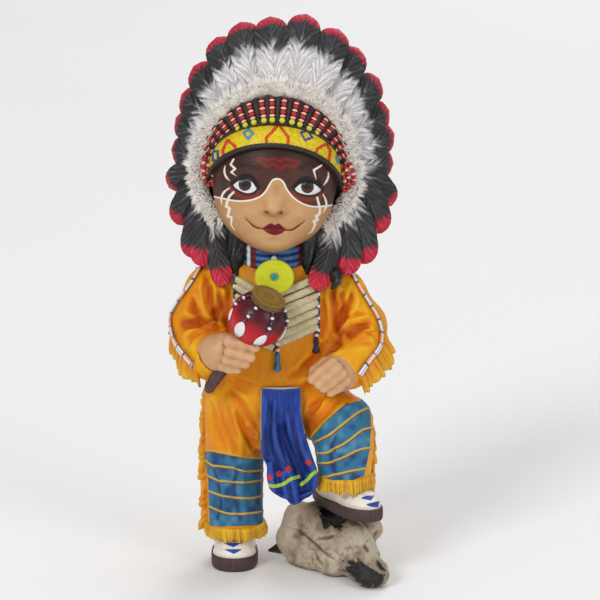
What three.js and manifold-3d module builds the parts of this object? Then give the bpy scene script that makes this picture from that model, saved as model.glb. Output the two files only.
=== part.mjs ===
// A painted resin figurine of a chief with a feather bonnet, one foot on a bull skull.
// It is one casting, so every modelled form is joined into a single solid.
// Millimetres, +Z up, the figure faces -Y, and +X is on the right when it is seen from the front.
import * as THREE from "three";
import { mergeVertices } from "three/addons/utils/BufferGeometryUtils.js";
import Module from "manifold-3d";

const wasm = await Module();
wasm.setup();

// Driving sizes of the standing figure
const neckPivot = new THREE.Vector3(-10.2, 0, 118);
const headRoll = THREE.MathUtils.degToRad(1.9);
const head = { at: [0, -3.5, 24.4], half: [22.4, 20.5, 24.6] };
const bonnet = {
  feathers: 24,
  firstAngle: -158,
  angleStep: 14,
  fanHeight: 30.2,
  sideReach: 39.5,
  topExtra: 12.4,
  rootReach: 24,
  thick: 1.5,
};
const brow = { tilt: THREE.MathUtils.degToRad(45), low: 0.4, width: 8.6, proud: 1.3 };
const sole = { long: 29, wide: 16.9, thick: 5 };
const standingFoot = { at: [-24, -3.4, 0], turn: 0, share: [1, 1, 1] };
// the raised foot was carved longer and flatter than the standing one
const raisedFoot = { at: [16.9, -11.3, 22.6], turn: THREE.MathUtils.degToRad(27), share: [0.92, 1.47, 0.88] };
const rattle = {
  butt: new THREE.Vector3(-32.4, -22.5, 69.3),
  ball: new THREE.Vector3(-15, -28.2, 96.6),
  ballRadius: 10.2,
  discRadius: 6.3,
  discThick: 2.6,
  stickRadius: 2.5,
};
const medallion = { at: [-9.1, -15.2, 109.2], radius: 7.1, thick: 2.4, lean: 0.4 };
const chestPlate = {
  left: -23.4, right: 6.2, top: 109, bottom: 83.6, rows: 9, sink: 4.6, pipe: 0.95,
};
const skull = { back: [7, 6], noseDirection: Math.atan2(-0.893, 0.45) };

const identity = new THREE.Matrix4();
const headMatrix = new THREE.Matrix4()
  .makeTranslation(neckPivot)
  .multiply(new THREE.Matrix4().makeRotationY(headRoll));

// A closed three.js geometry as a manifold solid, turned outward if it came out reversed.
function solid(geometry, matrix = identity) {
  const bare = geometry.clone().applyMatrix4(matrix);
  for (const name of Object.keys(bare.attributes)) {
    if (name !== "position") bare.deleteAttribute(name);
  }
  const merged = mergeVertices(bare, 1e-4);
  const index = Array.from(merged.index.array);
  const points = merged.attributes.position;
  let volume = 0;
  const [a, b, c] = [new THREE.Vector3(), new THREE.Vector3(), new THREE.Vector3()];
  for (let i = 0; i < index.length; i += 3) {
    a.fromBufferAttribute(points, index[i]);
    b.fromBufferAttribute(points, index[i + 1]);
    c.fromBufferAttribute(points, index[i + 2]);
    volume += a.dot(b.cross(c));
  }
  if (volume < 0) index.reverse();
  return new wasm.Manifold(
    new wasm.Mesh({
      numProp: 3,
      vertProperties: points.array,
      triVerts: new Uint32Array(index),
    }),
  );
}

// A swept form. Each station is [x, y, z, half width, half depth]; relief(around, along) is added to the radius.
function sweep(stations, { sides = 12, between = 2, relief = null, toward = [0, 1, 0] } = {}) {
  const path = new THREE.CatmullRomCurve3(stations.map((s) => new THREE.Vector3(s[0], s[1], s[2])));
  const sizes = new THREE.CatmullRomCurve3(stations.map((s) => new THREE.Vector3(s[3], s[4], 0)));
  const rings = (stations.length - 1) * between;
  const reference = new THREE.Vector3(...toward);
  const positions = [];
  const index = [];
  for (let i = 0; i <= rings; i++) {
    const along = i / rings;
    const centre = path.getPoint(along);
    const size = sizes.getPoint(along);
    const tangent = path.getTangent(along);
    const across = new THREE.Vector3().crossVectors(reference, tangent).normalize();
    const depth = new THREE.Vector3().crossVectors(tangent, across);
    for (let k = 0; k < sides; k++) {
      const turn = (2 * Math.PI * k) / sides;
      const extra = relief ? relief(turn, along) : 0;
      const wide = Math.max(size.x + extra, 0.15);
      const deep = Math.max(size.y + extra, 0.15);
      const point = centre
        .clone()
        .addScaledVector(across, wide * Math.cos(turn))
        .addScaledVector(depth, deep * Math.sin(turn));
      positions.push(point.x, point.y, point.z);
      if (i < rings) {
        const next = (k + 1) % sides;
        const [p, q] = [i * sides + k, i * sides + next];
        index.push(p, q, p + sides, q, q + sides, p + sides);
      }
    }
  }
  const ends = [
    [0, 0],
    [rings, 1],
  ];
  for (const [ring, along] of ends) {
    const centre = path.getPoint(along);
    const hub = positions.length / 3;
    positions.push(centre.x, centre.y, centre.z);
    for (let k = 0; k < sides; k++) {
      const [p, q] = [ring * sides + k, ring * sides + ((k + 1) % sides)];
      index.push(...(ring === 0 ? [hub, q, p] : [hub, p, q]));
    }
  }
  const geometry = new THREE.BufferGeometry();
  geometry.setAttribute("position", new THREE.Float32BufferAttribute(positions, 3));
  geometry.setIndex(index);
  return geometry;
}

function ball(at, half, wide = 14, high = 8) {
  return new THREE.SphereGeometry(1, wide, high)
    .scale(...half)
    .rotateX(Math.PI / 2)
    .translate(...at);
}

// A ball whose half sizes follow X, Y and Z, with its poles on the Z axis.
function standingBall(at, half, wide, high) {
  return new THREE.SphereGeometry(1, wide, high)
    .rotateX(Math.PI / 2)
    .scale(...half)
    .translate(...at);
}

function headForm() {
  const geometry = standingBall([0, 0, 0], [1, 1, 1], 16, 10);
  const p = geometry.attributes.position;
  for (let i = 0; i < p.count; i++) {
    const z = p.getZ(i);
    const fuller = 1 + 0.1 * Math.max(0, -z) * (1 - z * z);
    p.setXYZ(i, p.getX(i) * head.half[0] * fuller, p.getY(i) * head.half[1] * fuller, z * head.half[2]);
  }
  return geometry.translate(...head.at);
}

// The beaded band: a slightly larger head cut to a tilted slab.
function browBand() {
  const grown = head.half.map((h) => h + brow.proud);
  const cap = solid(standingBall(head.at, grown, 16, 10), headMatrix);
  const slab = new THREE.BoxGeometry(80, 80, brow.width)
    .translate(0, 0, brow.low + brow.width / 2)
    .rotateX(-brow.tilt)
    .translate(0, head.at[1], head.at[2]);
  return cap.intersect(solid(slab, headMatrix));
}

const degrees = THREE.MathUtils.degToRad;

// A point of the bonnet at an angle from straight up, a reach from a centre height, and a depth.
function onRing(angle, reach, depth, height) {
  return [reach * Math.sin(angle), depth, height + reach * Math.cos(angle)];
}

function featherTipDepth(angle) {
  const turned = Math.abs(angle);
  const side = 8 + 8 * Math.sin(Math.min(turned, Math.PI / 2)) ** 2;
  return side - 26 * Math.max(0, (turned - Math.PI / 2) / degrees(70)) ** 1.2;
}

function feather(number) {
  const angle = degrees(bonnet.firstAngle + bonnet.angleStep * number);
  const reach = bonnet.sideReach + bonnet.topExtra * Math.cos(angle) ** 2;
  const rootDepth = -6 + 5 * Math.sin(Math.min(Math.abs(angle), Math.PI / 2)) ** 2;
  const tipDepth = featherTipDepth(angle);
  const half = 4.6 + 1.4 * Math.max(0, Math.cos(angle));
  const stagger = number % 2 ? 0.5 : -0.5;
  const shape = [
    [0, 0.55],
    [0.65, 1],
    [0.9, 0.86],
    [1, 0.3],
  ];
  const stations = shape.map(([along, wide]) => {
    const at = bonnet.rootReach + (reach - bonnet.rootReach) * along;
    const depth = rootDepth + (tipDepth - rootDepth) * along ** 2.2 + stagger;
    return [...onRing(angle, at, depth, bonnet.fanHeight), half * wide, bonnet.thick * (0.5 + 0.5 * wide)];
  });
  return sweep(stations, { sides: 4, between: 1 });
}

// The down ring behind the beads, lumpy like tufts.
function downRing() {
  const stations = [];
  for (let angle = -126; angle <= 126; angle += 18) {
    const turn = degrees(angle);
    const side = Math.sin(turn / 1.42) ** 2;
    stations.push([...onRing(turn, 34.6 - 5.4 * side, -6.2 + 5 * side, 22.4), 4.8, 4.6]);
  }
  const tufts = (around, along) => 0.35 * Math.sin(60 * along + 3 * around);
  return sweep(stations, { sides: 5, between: 1, relief: tufts });
}

// The leather crown with its bead drops, as one ribbed arch.
function crown() {
  const stations = [];
  for (let drop = -10; drop <= 10; drop++) {
    const angle = degrees(drop * 9.6);
    const side = Math.sin(angle / 1.15) ** 2;
    const proud = drop % 2 ? 0 : 1.1;
    stations.push([...onRing(angle, 28.6 - 2.6 * side, -12.5 + 9 * side, 22.4), 5.2 - 2.2 * side, 2.6 + proud]);
  }
  return sweep(stations, { sides: 4, between: 1 });
}

// The back of the head: a leather cap over black hair that falls to the shoulders.
function backOfHead() {
  const cap = standingBall([0, 1.5, 26.5], [21.5, 19, 22.5], 12, 8);
  const hair = sweep(
    [
      [0, 9, 32, 19, 12],
      [0, 12, 16, 20, 10.5],
      [0, 11.5, 0, 18.5, 7.5],
      [0, 11.5, -13, 13.5, 4],
    ],
    { sides: 10, between: 1, relief: (around) => 0.5 * Math.sin(5 * around) },
  );
  const locks = [-1, 1].map((hand) =>
    sweep(
      [
        [hand * 13.5, 0, 8, 3.4, 5],
        [hand * 14.5, -4, -2, 3.2, 4],
        [hand * (hand > 0 ? 20 : 15.5), -9, -10, 2, 2.2],
      ],
      { sides: 5, between: 1 },
    ),
  );
  return [cap, hair, ...locks];
}

function ears() {
  return [-1, 1].map((hand) => standingBall([hand * 24.6, -1.8, 20.5], [2.6, 3.6, 6.2], 7, 5));
}

function nose() {
  return standingBall([0.4, -23.6, 17.8], [3.1, 2.6, 2.4], 6, 5);
}

const cloth = {
  torso: (around, along) => 0.5 * Math.sin(5 * around + 5 * along) * Math.min(1, 2.5 * along),
  sleeve: (around, along) => 0.7 * Math.sin(3 * around + 16 * along) * Math.sin(Math.PI * along),
  leg: (around, along) => 0.55 * Math.sin(4 * around + 9 * along) * Math.sin(Math.PI * along),
};

function shirt() {
  const stations = [
    [-9.2, -0.5, 66, 24.6, 17],
    [-9.2, -0.3, 74, 24.8, 17],
    [-9.2, 0, 84, 24.2, 16.4],
    [-9.2, 0.3, 94, 24, 15.6],
    [-9.2, 0.6, 103, 22.6, 13.6],
    [-9.2, 0.4, 109, 17, 11.6],
    [-9.2, -0.6, 113.5, 10.4, 9.6],
  ];
  return sweep(stations, { sides: 20, between: 1, relief: cloth.torso });
}

// Sleeves run from shoulder to elbow to an open flared cuff.
const sleeves = [
  [
    [-22, 1, 106, 9, 9],
    [-31, 1, 99, 11, 10.5],
    [-36.6, -1, 88, 10.2, 10.5],
    [-35, -10, 80.5, 9.2, 9.6],
    [-31.6, -18, 79.8, 9.4, 8.4],
  ],
  [
    [4, 1, 106, 9, 9],
    [14, 1, 99, 11, 10.5],
    [21.5, -1, 87.5, 10.4, 10.5],
    [20.5, -9, 79, 9.2, 9.8],
    [16.4, -16, 75.8, 8.6, 8.8],
  ],
];

function sleeve(stations) {
  return sweep(stations, { sides: 10, between: 2, relief: cloth.sleeve, toward: [0.4, 0.5, 0.77] });
}

// A fringe is a thin fin with a scalloped edge that hangs from a seam.
function fringe(seam, drop, scallops, thick = 0.9) {
  const path = new THREE.CatmullRomCurve3(seam.map((s) => new THREE.Vector3(...s)));
  const steps = scallops * 2;
  const positions = [];
  const index = [];
  for (let i = 0; i <= steps; i++) {
    const along = i / steps;
    const top = path.getPoint(along);
    const fade = 0.35 + 0.65 * Math.sin(Math.PI * Math.min(1, along * 1.1)) ** 0.5;
    const reach = fade * (i % 2 ? 1 : 0.72);
    const rim = top.clone().add(new THREE.Vector3(drop[0], drop[1], drop[2]).multiplyScalar(reach));
    for (const side of [-thick, thick]) {
      positions.push(top.x, top.y + side, top.z, rim.x, rim.y + side * 0.5, rim.z);
    }
  }
  for (let i = 0; i < steps; i++) {
    const p = i * 4;
    const quads = [
      [p, p + 1, p + 5, p + 4],
      [p + 2, p + 6, p + 7, p + 3],
      [p, p + 4, p + 6, p + 2],
      [p + 1, p + 3, p + 7, p + 5],
    ];
    for (const [a, b, c, d] of quads) index.push(a, b, c, a, c, d);
  }
  const last = steps * 4;
  index.push(0, 2, 3, 0, 3, 1, last, last + 1, last + 3, last, last + 3, last + 2);
  const geometry = new THREE.BufferGeometry();
  geometry.setAttribute("position", new THREE.Float32BufferAttribute(positions, 3));
  geometry.setIndex(index);
  return geometry;
}

function fringes() {
  return [
    fringe([[-28, 0, 104], [-41, 0, 95], [-45.5, -3, 84], [-41, -11, 76], [-34, -17, 74]], [-1.6, 0, -6.5], 6),
    fringe([[9, 0, 105], [24, 0, 96], [30.5, -3, 84], [28, -9, 76], [20, -13, 70]], [3.6, 0, -7.5], 6),
    fringe([[-33.6, 0, 62], [-34, -1, 45], [-33.4, -2, 28], [-32.6, -3, 13]], [-2.8, 0, -1.5], 5),
    fringe([[24, -13, 58], [25, -14, 48], [24.6, -14, 38], [23.6, -14, 30]], [3, 0, -1], 4),
  ];
}

function trousers() {
  const hips = sweep(
    [
      [-9.2, 0, 45, 15, 12],
      [-9.2, -0.2, 52, 22, 15.6],
      [-9.2, -0.4, 60, 24.6, 16.8],
      [-9.2, -0.4, 69, 24.4, 16.6],
    ],
    { sides: 14, between: 1 },
  );
  const straight = sweep(
    [
      [-22.4, -1, 64, 11.6, 14],
      [-23.6, -1.6, 50, 11.2, 13],
      [-24, -2.4, 36, 10.2, 11],
      [-23.8, -3, 22, 9.8, 10.4],
      [-23.8, -3.2, 13, 10, 10.6],
    ],
    { sides: 12, between: 1, relief: cloth.leg },
  );
  const thigh = sweep(
    [
      [-2, 1, 57, 13, 14],
      [8, -6, 55.5, 12.6, 12],
      [15.4, -15, 53.6, 11.4, 11],
      [16.6, -18.6, 51, 9, 9],
    ],
    { sides: 12, between: 1, relief: cloth.leg, toward: [0, 0, 1] },
  );
  const shin = sweep(
    [
      [15.6, -16.5, 56, 9.6, 8.6],
      [15.8, -17.4, 48, 10.8, 10.6],
      [16, -17, 38, 10, 10],
      [16.4, -16.6, 30, 9.4, 9.6],
    ],
    { sides: 14, between: 1, relief: cloth.leg },
  );
  return [hips, straight, thigh, shin];
}

// Fringe round an ankle: a flared ring of strands.
function ankleFringe(x, y, z, half, drop) {
  const stations = [
    [x, y, z + 2, half[0] - 0.6, half[1] - 0.6],
    [x, y, z, half[0], half[1]],
    [x, y - 0.4, z - drop, half[0] + 1.1, half[1] + 1.1],
  ];
  return sweep(stations, { sides: 14, between: 1, relief: (turn) => 0.3 * Math.cos(7 * turn) });
}

function soleOutline() {
  const shape = new THREE.Shape();
  const [half, long] = [sole.wide / 2, sole.long / 2];
  shape.moveTo(-half * 0.82, long * 0.55);
  shape.absarc(0, long - half * 0.86, half * 0.84, Math.PI, 0, true);
  shape.lineTo(half, -long + half);
  shape.absarc(0, -long + half, half, 0, -Math.PI, true);
  shape.closePath();
  return shape;
}

function moccasin(foot) {
  const place = new THREE.Matrix4()
    .makeTranslation(...foot.at)
    .multiply(new THREE.Matrix4().makeRotationZ(foot.turn))
    .multiply(new THREE.Matrix4().makeScale(...foot.share));
  const plate = new THREE.ExtrudeGeometry(soleOutline(), {
    depth: sole.thick,
    bevelEnabled: false,
    curveSegments: 6,
  });
  const toe = standingBall([0, -5.4, 4.6], [7.7, 8.6, 6.4], 9, 6);
  const heel = standingBall([0, 5, 4.6], [7.4, 8.6, 9], 8, 5);
  return [plate, toe, heel].map((piece) => solid(piece, place));
}

// A fist: a rounded palm with four finger rolls.
function fist(palm, half, knuckle, spread, fingers) {
  const pieces = [ball(palm, half, 9, 6)];
  for (let i = 0; i < 4; i++) {
    const shift = i - 1.5;
    const at = knuckle.map((k, n) => k + spread[n] * shift);
    const tip = at.map((k, n) => k + fingers[n]);
    pieces.push(sweep([[...at, 1.9, 1.9], [...tip, 1.6, 1.6]], { sides: 5, between: 1, toward: spread }));
  }
  return pieces;
}

function hands() {
  const holding = fist([-26.4, -23.4, 83.6], [7.2, 6.4, 6.6], [-22.6, -27.6, 83.6], [1, 0.1, -3], [5.4, 1.2, 1.4]);
  const thumb = sweep([[-26, -27, 88, 2.1, 2.1], [-19.8, -28.2, 87.6, 1.8, 1.8]], {
    sides: 5,
    between: 1,
    toward: [0, 0, 1],
  });
  const resting = fist([12.4, -19, 75], [7.6, 6.2, 7.4], [9.6, -22.6, 73.8], [1.9, -0.2, -2.1], [-3.4, 0.8, -2.6]);
  const wrists = [
    sweep([[-35, -14, 81, 5, 5], [-28, -21.5, 83.4, 5.4, 5]], { sides: 8, between: 1 }),
    sweep([[20, -10, 78, 5.6, 5.6], [13, -17.5, 75.4, 6, 5.6]], { sides: 7, between: 1 }),
  ];
  return [...holding, thumb, ...resting, ...wrists];
}

function rattleForm() {
  const axis = rattle.ball.clone().sub(rattle.butt).normalize();
  const along = (distance) => rattle.ball.clone().addScaledVector(axis, distance);
  const shaft = [rattle.butt, along(-rattle.ballRadius + 1)];
  const stick = sweep(
    shaft.map((p, i) => [...p.toArray(), rattle.stickRadius - 0.3 + 0.3 * i, rattle.stickRadius - 0.3 + 0.3 * i]),
    { sides: 7, between: 1, toward: [0, 1, 0] },
  );
  const end = ball(rattle.butt.toArray(), [2.2, 2.2, 2.2], 7, 5);
  const gourd = ball(rattle.ball.toArray(), [1, 1, 1].map(() => rattle.ballRadius), 12, 8);
  const rim = rattle.ballRadius - 2.2;
  const disc = sweep(
    [rim, rim + rattle.discThick].map((d) => [...along(d).toArray(), rattle.discRadius, rattle.discRadius]),
    { sides: 14, between: 1 },
  );
  return [stick, end, gourd, disc];
}

function neckAndMedallion() {
  const collar = sweep(
    [
      [-9.4, -1.6, 110.6, 10.6, 10],
      [-9.6, -1.6, 113.5, 9.2, 9],
      [-9.8, -1.6, 119, 9.4, 9.2],
    ],
    { sides: 14, between: 1 },
  );
  const disc = new THREE.CylinderGeometry(medallion.radius, medallion.radius, medallion.thick, 16)
    .rotateX(-medallion.lean)
    .translate(...medallion.at);
  return [collar, disc];
}

// The depth of the chest's front at a height and a distance from its middle line.
function chestDepth(x, z) {
  const half = 15.4 + (103 - z) * 0.07;
  return 0.3 - half * Math.sqrt(Math.max(0.1, 1 - ((x + 9.2) / 25) ** 2));
}

// Rows of bone pipes, each sagging to the middle, as one ribbed plate.
function chestPipes() {
  const middle = (chestPlate.left + chestPlate.right) / 2;
  const columns = [chestPlate.left, middle, chestPlate.right];
  const steps = chestPlate.rows * 2;
  const positions = [];
  const index = [];
  for (let i = 0; i <= steps; i++) {
    const high = chestPlate.top - (i / steps) * (chestPlate.top - chestPlate.sink - chestPlate.bottom);
    for (const x of columns) {
      const z = high - chestPlate.sink * (1 - Math.abs(x - middle) / (chestPlate.right - middle));
      const front = chestDepth(x, z) - (i % 2 ? chestPlate.pipe * 1.7 : 0.4);
      positions.push(x, front, z, x, front + 3, z);
    }
  }
  const wide = columns.length;
  const at = (row, column, back) => 2 * (row * wide + column) + back;
  const quad = (a, b, c, d) => index.push(a, b, c, a, c, d);
  for (let i = 0; i < steps; i++) {
    for (let k = 0; k < wide - 1; k++) {
      quad(at(i, k, 0), at(i + 1, k, 0), at(i + 1, k + 1, 0), at(i, k + 1, 0));
      quad(at(i, k, 1), at(i, k + 1, 1), at(i + 1, k + 1, 1), at(i + 1, k, 1));
    }
    quad(at(i, 0, 0), at(i, 0, 1), at(i + 1, 0, 1), at(i + 1, 0, 0));
    quad(at(i, wide - 1, 1), at(i, wide - 1, 0), at(i + 1, wide - 1, 0), at(i + 1, wide - 1, 1));
  }
  for (let k = 0; k < wide - 1; k++) {
    quad(at(0, k, 1), at(0, k, 0), at(0, k + 1, 0), at(0, k + 1, 1));
    quad(at(steps, k, 0), at(steps, k, 1), at(steps, k + 1, 1), at(steps, k + 1, 0));
  }
  const geometry = new THREE.BufferGeometry();
  geometry.setAttribute("position", new THREE.Float32BufferAttribute(positions, 3));
  geometry.setIndex(index);
  return geometry;
}

function breechCloth() {
  const stations = [
    [-7, -16.6, 70.5, 7.4, 1.6],
    [-6.6, -18.6, 58, 7.6, 2],
    [-5.6, -21, 46, 8, 2.4],
    [-3.4, -22.6, 36, 9.2, 2.6],
    [-2.2, -22.4, 29, 6.4, 2.4],
    [-1.4, -21.8, 25.8, 2.6, 1.4],
  ];
  return sweep(stations, { sides: 12, between: 1, relief: (turn, along) => 0.5 * along * Math.cos(4 * turn) });
}

// The bull skull under the raised foot: cranium, cheek ridges and muzzle, with the sockets and nose cut in.
function bullSkull() {
  const forward = new THREE.Vector3(Math.cos(skull.noseDirection), Math.sin(skull.noseDirection), 0);
  const place = (distance, side, z) => {
    const left = new THREE.Vector3(-forward.y, forward.x, 0);
    return new THREE.Vector3(...skull.back, z).addScaledVector(forward, distance).addScaledVector(left, side);
  };
  const station = (distance, side, z, wide, deep) => [...place(distance, side, z).toArray(), wide, deep];
  const toward = [0, 0, 1];
  const body = sweep(
    [
      station(-5.6, -1, 10, 7.4, 7),
      station(0, -1.4, 10.6, 13, 10.6),
      station(8, -1.4, 11.2, 15, 12),
      station(16, -1.6, 10.8, 14, 11.8),
      station(26, -1.2, 8.8, 10.4, 9.6),
      station(37, -1.6, 6.2, 7.8, 6.8),
      station(46, -1.4, 3.9, 5.6, 4.2),
    ],
    { sides: 10, between: 1, toward },
  );
  const farOrbit = ball(place(25, 8.8, 15).toArray(), [4.8, 4.8, 4.6], 7, 4);
  const cheek = sweep([station(8, -13, 5, 4, 5.4), station(24, -8, 4.6, 4.6, 5.2), station(34, -6, 4, 2.4, 3.4)], {
    sides: 6,
    between: 1,
    toward,
  });
  const horns = [
    sweep([station(3, -11, 6, 3.4, 3.5), station(-1.4, -17, 3.6, 1.8, 1.9), station(-3, -19.4, 2.8, 0.4, 0.5)], {
      sides: 5,
      between: 2,
      toward,
    }),
    sweep([station(3, 12, 11, 3.3, 3.3), station(-2, 20.4, 8.4, 1.7, 1.7), station(-4.4, 22.4, 6.6, 0.5, 0.5)], {
      sides: 5,
      between: 2,
      toward,
    }),
  ];
  let bone = [body, farOrbit, cheek, ...horns].map((g) => solid(g)).reduce((sum, piece) => sum.add(piece));
  const socket = ball(place(18, -5.6, 23).toArray(), [4.8, 4.8, 3.6], 7, 5);
  const nostril = ball(place(42, -4.8, 8.2).toArray(), [5.6, 5, 3], 7, 5);
  bone = bone.subtract(solid(socket)).subtract(solid(nostril));
  return bone;
}

const headPieces = [
  headForm(),
  nose(),
  downRing(),
  crown(),
  ...backOfHead(),
  ...ears(),
  ...Array.from({ length: bonnet.feathers }, (_, number) => feather(number)),
].map((piece) => solid(piece, headMatrix));

const bodyPieces = [
  shirt(),
  ...sleeves.map(sleeve),
  ...fringes(),
  ...trousers(),
  ankleFringe(-23.8, -3.4, 14.5, [9.8, 10.4], 6),
  ankleFringe(16.3, -16.8, 35.6, [9.2, 9.3], 5),
  ...hands(),
  ...rattleForm(),
  ...neckAndMedallion(),
  chestPipes(),
  breechCloth(),
].map((piece) => solid(piece));

const everything = [
  ...headPieces,
  browBand(),
  ...bodyPieces,
  ...moccasin(standingFoot),
  ...moccasin(raisedFoot),
  bullSkull(),
];

const ground = new THREE.BoxGeometry(200, 200, 20).translate(0, 0, -10);
const joined = wasm.Manifold.union(everything).subtract(solid(ground));

// The outer skin only: small pockets sealed in between the joined forms are filled.
const skins = joined.decompose().sort((a, b) => b.volume() - a.volume());
const cast = skins[0];

const castMesh = cast.getMesh();
const geometry = new THREE.BufferGeometry();
const points = new Float32Array(castMesh.numVert * 3);
for (let i = 0; i < castMesh.numVert; i++) {
  points.set(castMesh.vertProperties.subarray(i * castMesh.numProp, i * castMesh.numProp + 3), i * 3);
}
geometry.setAttribute("position", new THREE.BufferAttribute(points, 3));
geometry.setIndex(new THREE.BufferAttribute(castMesh.triVerts, 1));
geometry.computeVertexNormals();
geometry.computeBoundingBox();

const paintedResin = new THREE.MeshStandardMaterial({ color: 0xdf9a1c, roughness: 0.5, metalness: 0 });
const figurine = new THREE.Mesh(geometry, paintedResin);
figurine.name = "figurine";

// The origin is the middle of the outline, on the surface that the figurine stands on.
const box = geometry.boundingBox;
figurine.position.set(-(box.min.x + box.max.x) / 2, -(box.min.y + box.max.y) / 2, -box.min.z);

const group = new THREE.Group();
group.add(figurine);
export default group;
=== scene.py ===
# A painted cast resin figurine: a child chief in a feather bonnet, a rattle in one fist, one foot on a
# bull skull.
# All forms are laid out in millimetres in the carver's drawing, where the figure faces -Y and +Z is up.
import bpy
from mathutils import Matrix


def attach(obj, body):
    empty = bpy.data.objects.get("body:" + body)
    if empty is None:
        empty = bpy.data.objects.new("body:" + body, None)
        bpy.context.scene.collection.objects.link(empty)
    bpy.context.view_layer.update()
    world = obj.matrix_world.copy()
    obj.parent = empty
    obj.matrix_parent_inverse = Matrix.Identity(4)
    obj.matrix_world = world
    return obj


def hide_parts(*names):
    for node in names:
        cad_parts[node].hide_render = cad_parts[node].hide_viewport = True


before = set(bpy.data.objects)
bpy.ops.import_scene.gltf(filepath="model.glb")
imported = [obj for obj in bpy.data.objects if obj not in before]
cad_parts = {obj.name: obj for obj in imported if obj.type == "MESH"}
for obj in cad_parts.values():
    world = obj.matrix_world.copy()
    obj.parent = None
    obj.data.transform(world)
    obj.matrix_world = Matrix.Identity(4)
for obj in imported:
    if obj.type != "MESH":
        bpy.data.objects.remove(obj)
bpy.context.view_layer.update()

import math

import bpy
import numpy as np
from mathutils import Vector

# Where the frame's origin lies in the drawing, and the camera that the drawing was measured with
drawing = {"middle": (-7.807, -8.222, 0.0), "millimetre": 0.001}
camera = {"distance": 1000.0, "elevation": 12.0, "targetHeight": 97.4, "focal": 2760.0, "frame": 600,
          "sensor": 36.0}
carver = {"fine": 1.0, "seed": 11}
chance = np.random.default_rng(carver["seed"])
tilt = math.radians(camera["elevation"])
tiltSine, tiltCosine = math.sin(tilt), math.cos(tilt)
half = camera["frame"] / 2
# a gap for points that no stroke comes near
far = 99.0


# Small sums that every piece uses

def ease(low, high, value):
    t = np.clip((value - low) / (high - low), 0, 1)
    return t * t * (3 - 2 * t)


def mix(a, b, share):
    share = np.asarray(share)[..., None]
    return np.asarray(a) * (1 - share) + np.asarray(b) * share


def rgb(red, green, blue):
    value = np.array([red, green, blue], float) / 255
    return np.where(value < 0.04045, value / 12.92, ((value + 0.055) / 1.055) ** 2.4)


def scatter(cells, seed):
    # an even spread of numbers from 0 to 1, one for each lattice cell
    n = cells[..., 0] * 73856093 ^ cells[..., 1] * 19349663 ^ cells[..., 2] * 83492791 ^ (seed * 2654435 + 97)
    n = (n ^ (n >> 13)) * 1274126177 & 0xFFFFFFFF
    return ((n ^ (n >> 16)) & 0xFFFF) / 0xFFFF


def grain(points, size, seed=0):
    # smooth lattice noise from -1 to 1, with lumps of about this size
    q = np.asarray(points, float) / size + 64
    cell = np.floor(q).astype(np.int64)
    f = q - cell
    f = f * f * (3 - 2 * f)
    total = 0
    for dx in (0, 1):
        for dy in (0, 1):
            for dz in (0, 1):
                corner = np.array([dx, dy, dz])
                weight = np.prod(np.where(corner == 1, f, 1 - f), axis=-1)
                total = total + weight * scatter(cell + corner, seed)
    return total * 2 - 1


def unit(vectors):
    return vectors / np.maximum(np.linalg.norm(vectors, axis=-1, keepdims=True), 1e-9)


def lengths(line):
    # how far each point lies along a line
    return np.concatenate([[0], np.cumsum(np.linalg.norm(np.diff(line, axis=0), axis=1))])


def smoothLine(points, count):
    # a Catmull-Rom curve through the points, evenly spaced
    p = np.asarray(points, float)
    p = np.vstack([2 * p[0] - p[1], p, 2 * p[-1] - p[-2]])
    dense = []
    for i in range(1, len(p) - 2):
        t = np.linspace(0, 1, 24, endpoint=False)[:, None]
        a, b, c, d = p[i - 1], p[i], p[i + 1], p[i + 2]
        dense.append(0.5 * (2 * b + (c - a) * t + (2 * a - 5 * b + 4 * c - d) * t ** 2
                            + (3 * b - a - 3 * c + d) * t ** 3))
    dense = np.vstack(dense + [p[-2:-1]])
    run = lengths(dense)
    at = np.linspace(0, run[-1], count)
    return np.stack([np.interp(at, run, dense[:, k]) for k in range(p.shape[1])], axis=1)


def seen(points):
    # where the camera sees a point of the drawing, in the photograph's pixels
    x, y, z = points[:, 0], points[:, 1], points[:, 2] - camera["targetHeight"]
    away = camera["distance"] + y * tiltCosine - z * tiltSine
    up = y * tiltSine + z * tiltCosine
    return np.stack([half + camera["focal"] * x / away, half - camera["focal"] * up / away], axis=1)


pixel = camera["distance"] / camera["focal"] * 0.975


def dab(spots, x, y, wide, high):
    # a soft dab of paint at a pixel of the picture
    return np.exp(-(((spots[:, 0] - x) / wide) ** 2 + ((spots[:, 1] - y) / high) ** 2))


def strokeGap(spots, line, halfWidths):
    # how far each spot on the picture lies outside a brush stroke, in millimetres
    line = np.asarray(line, float)
    halfWidths = np.interp(np.linspace(0, 1, len(line)), np.linspace(0, 1, len(halfWidths)), halfWidths)
    best = np.full(len(spots), far)
    near = np.all((spots > line.min(0) - 30) & (spots < line.max(0) + 30), axis=1)
    p = spots[near]
    gap = np.full(len(p), far)
    for a, b, ra, rb in zip(line[:-1], line[1:], halfWidths[:-1], halfWidths[1:]):
        ab = b - a
        h = np.clip(((p - a) @ ab) / max(ab @ ab, 1e-9), 0, 1)
        away = np.linalg.norm(p - a - h[:, None] * ab, axis=1) * pixel - (ra + (rb - ra) * h)
        gap = np.minimum(gap, away)
    best[near] = gap
    return best


def regionGap(spots, outline):
    # how far each spot lies outside a closed outline on the picture, in millimetres, less than zero inside
    outline = np.asarray(outline, float)
    closed = np.vstack([outline, outline[:1]])
    gap = strokeGap(spots, closed, [0, 0])
    inside = np.zeros(len(spots), bool)
    for a, b in zip(closed[:-1], closed[1:]):
        crosses = (a[1] > spots[:, 1]) != (b[1] > spots[:, 1])
        level = np.where(b[1] != a[1], (spots[:, 1] - a[1]) / (b[1] - a[1] + 1e-12), 0)
        inside ^= crosses & (spots[:, 0] < a[0] + level * (b[0] - a[0]))
    return np.where(inside, -gap, gap)


# Forms: points, four-sided and three-sided faces, and named values on the points

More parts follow.
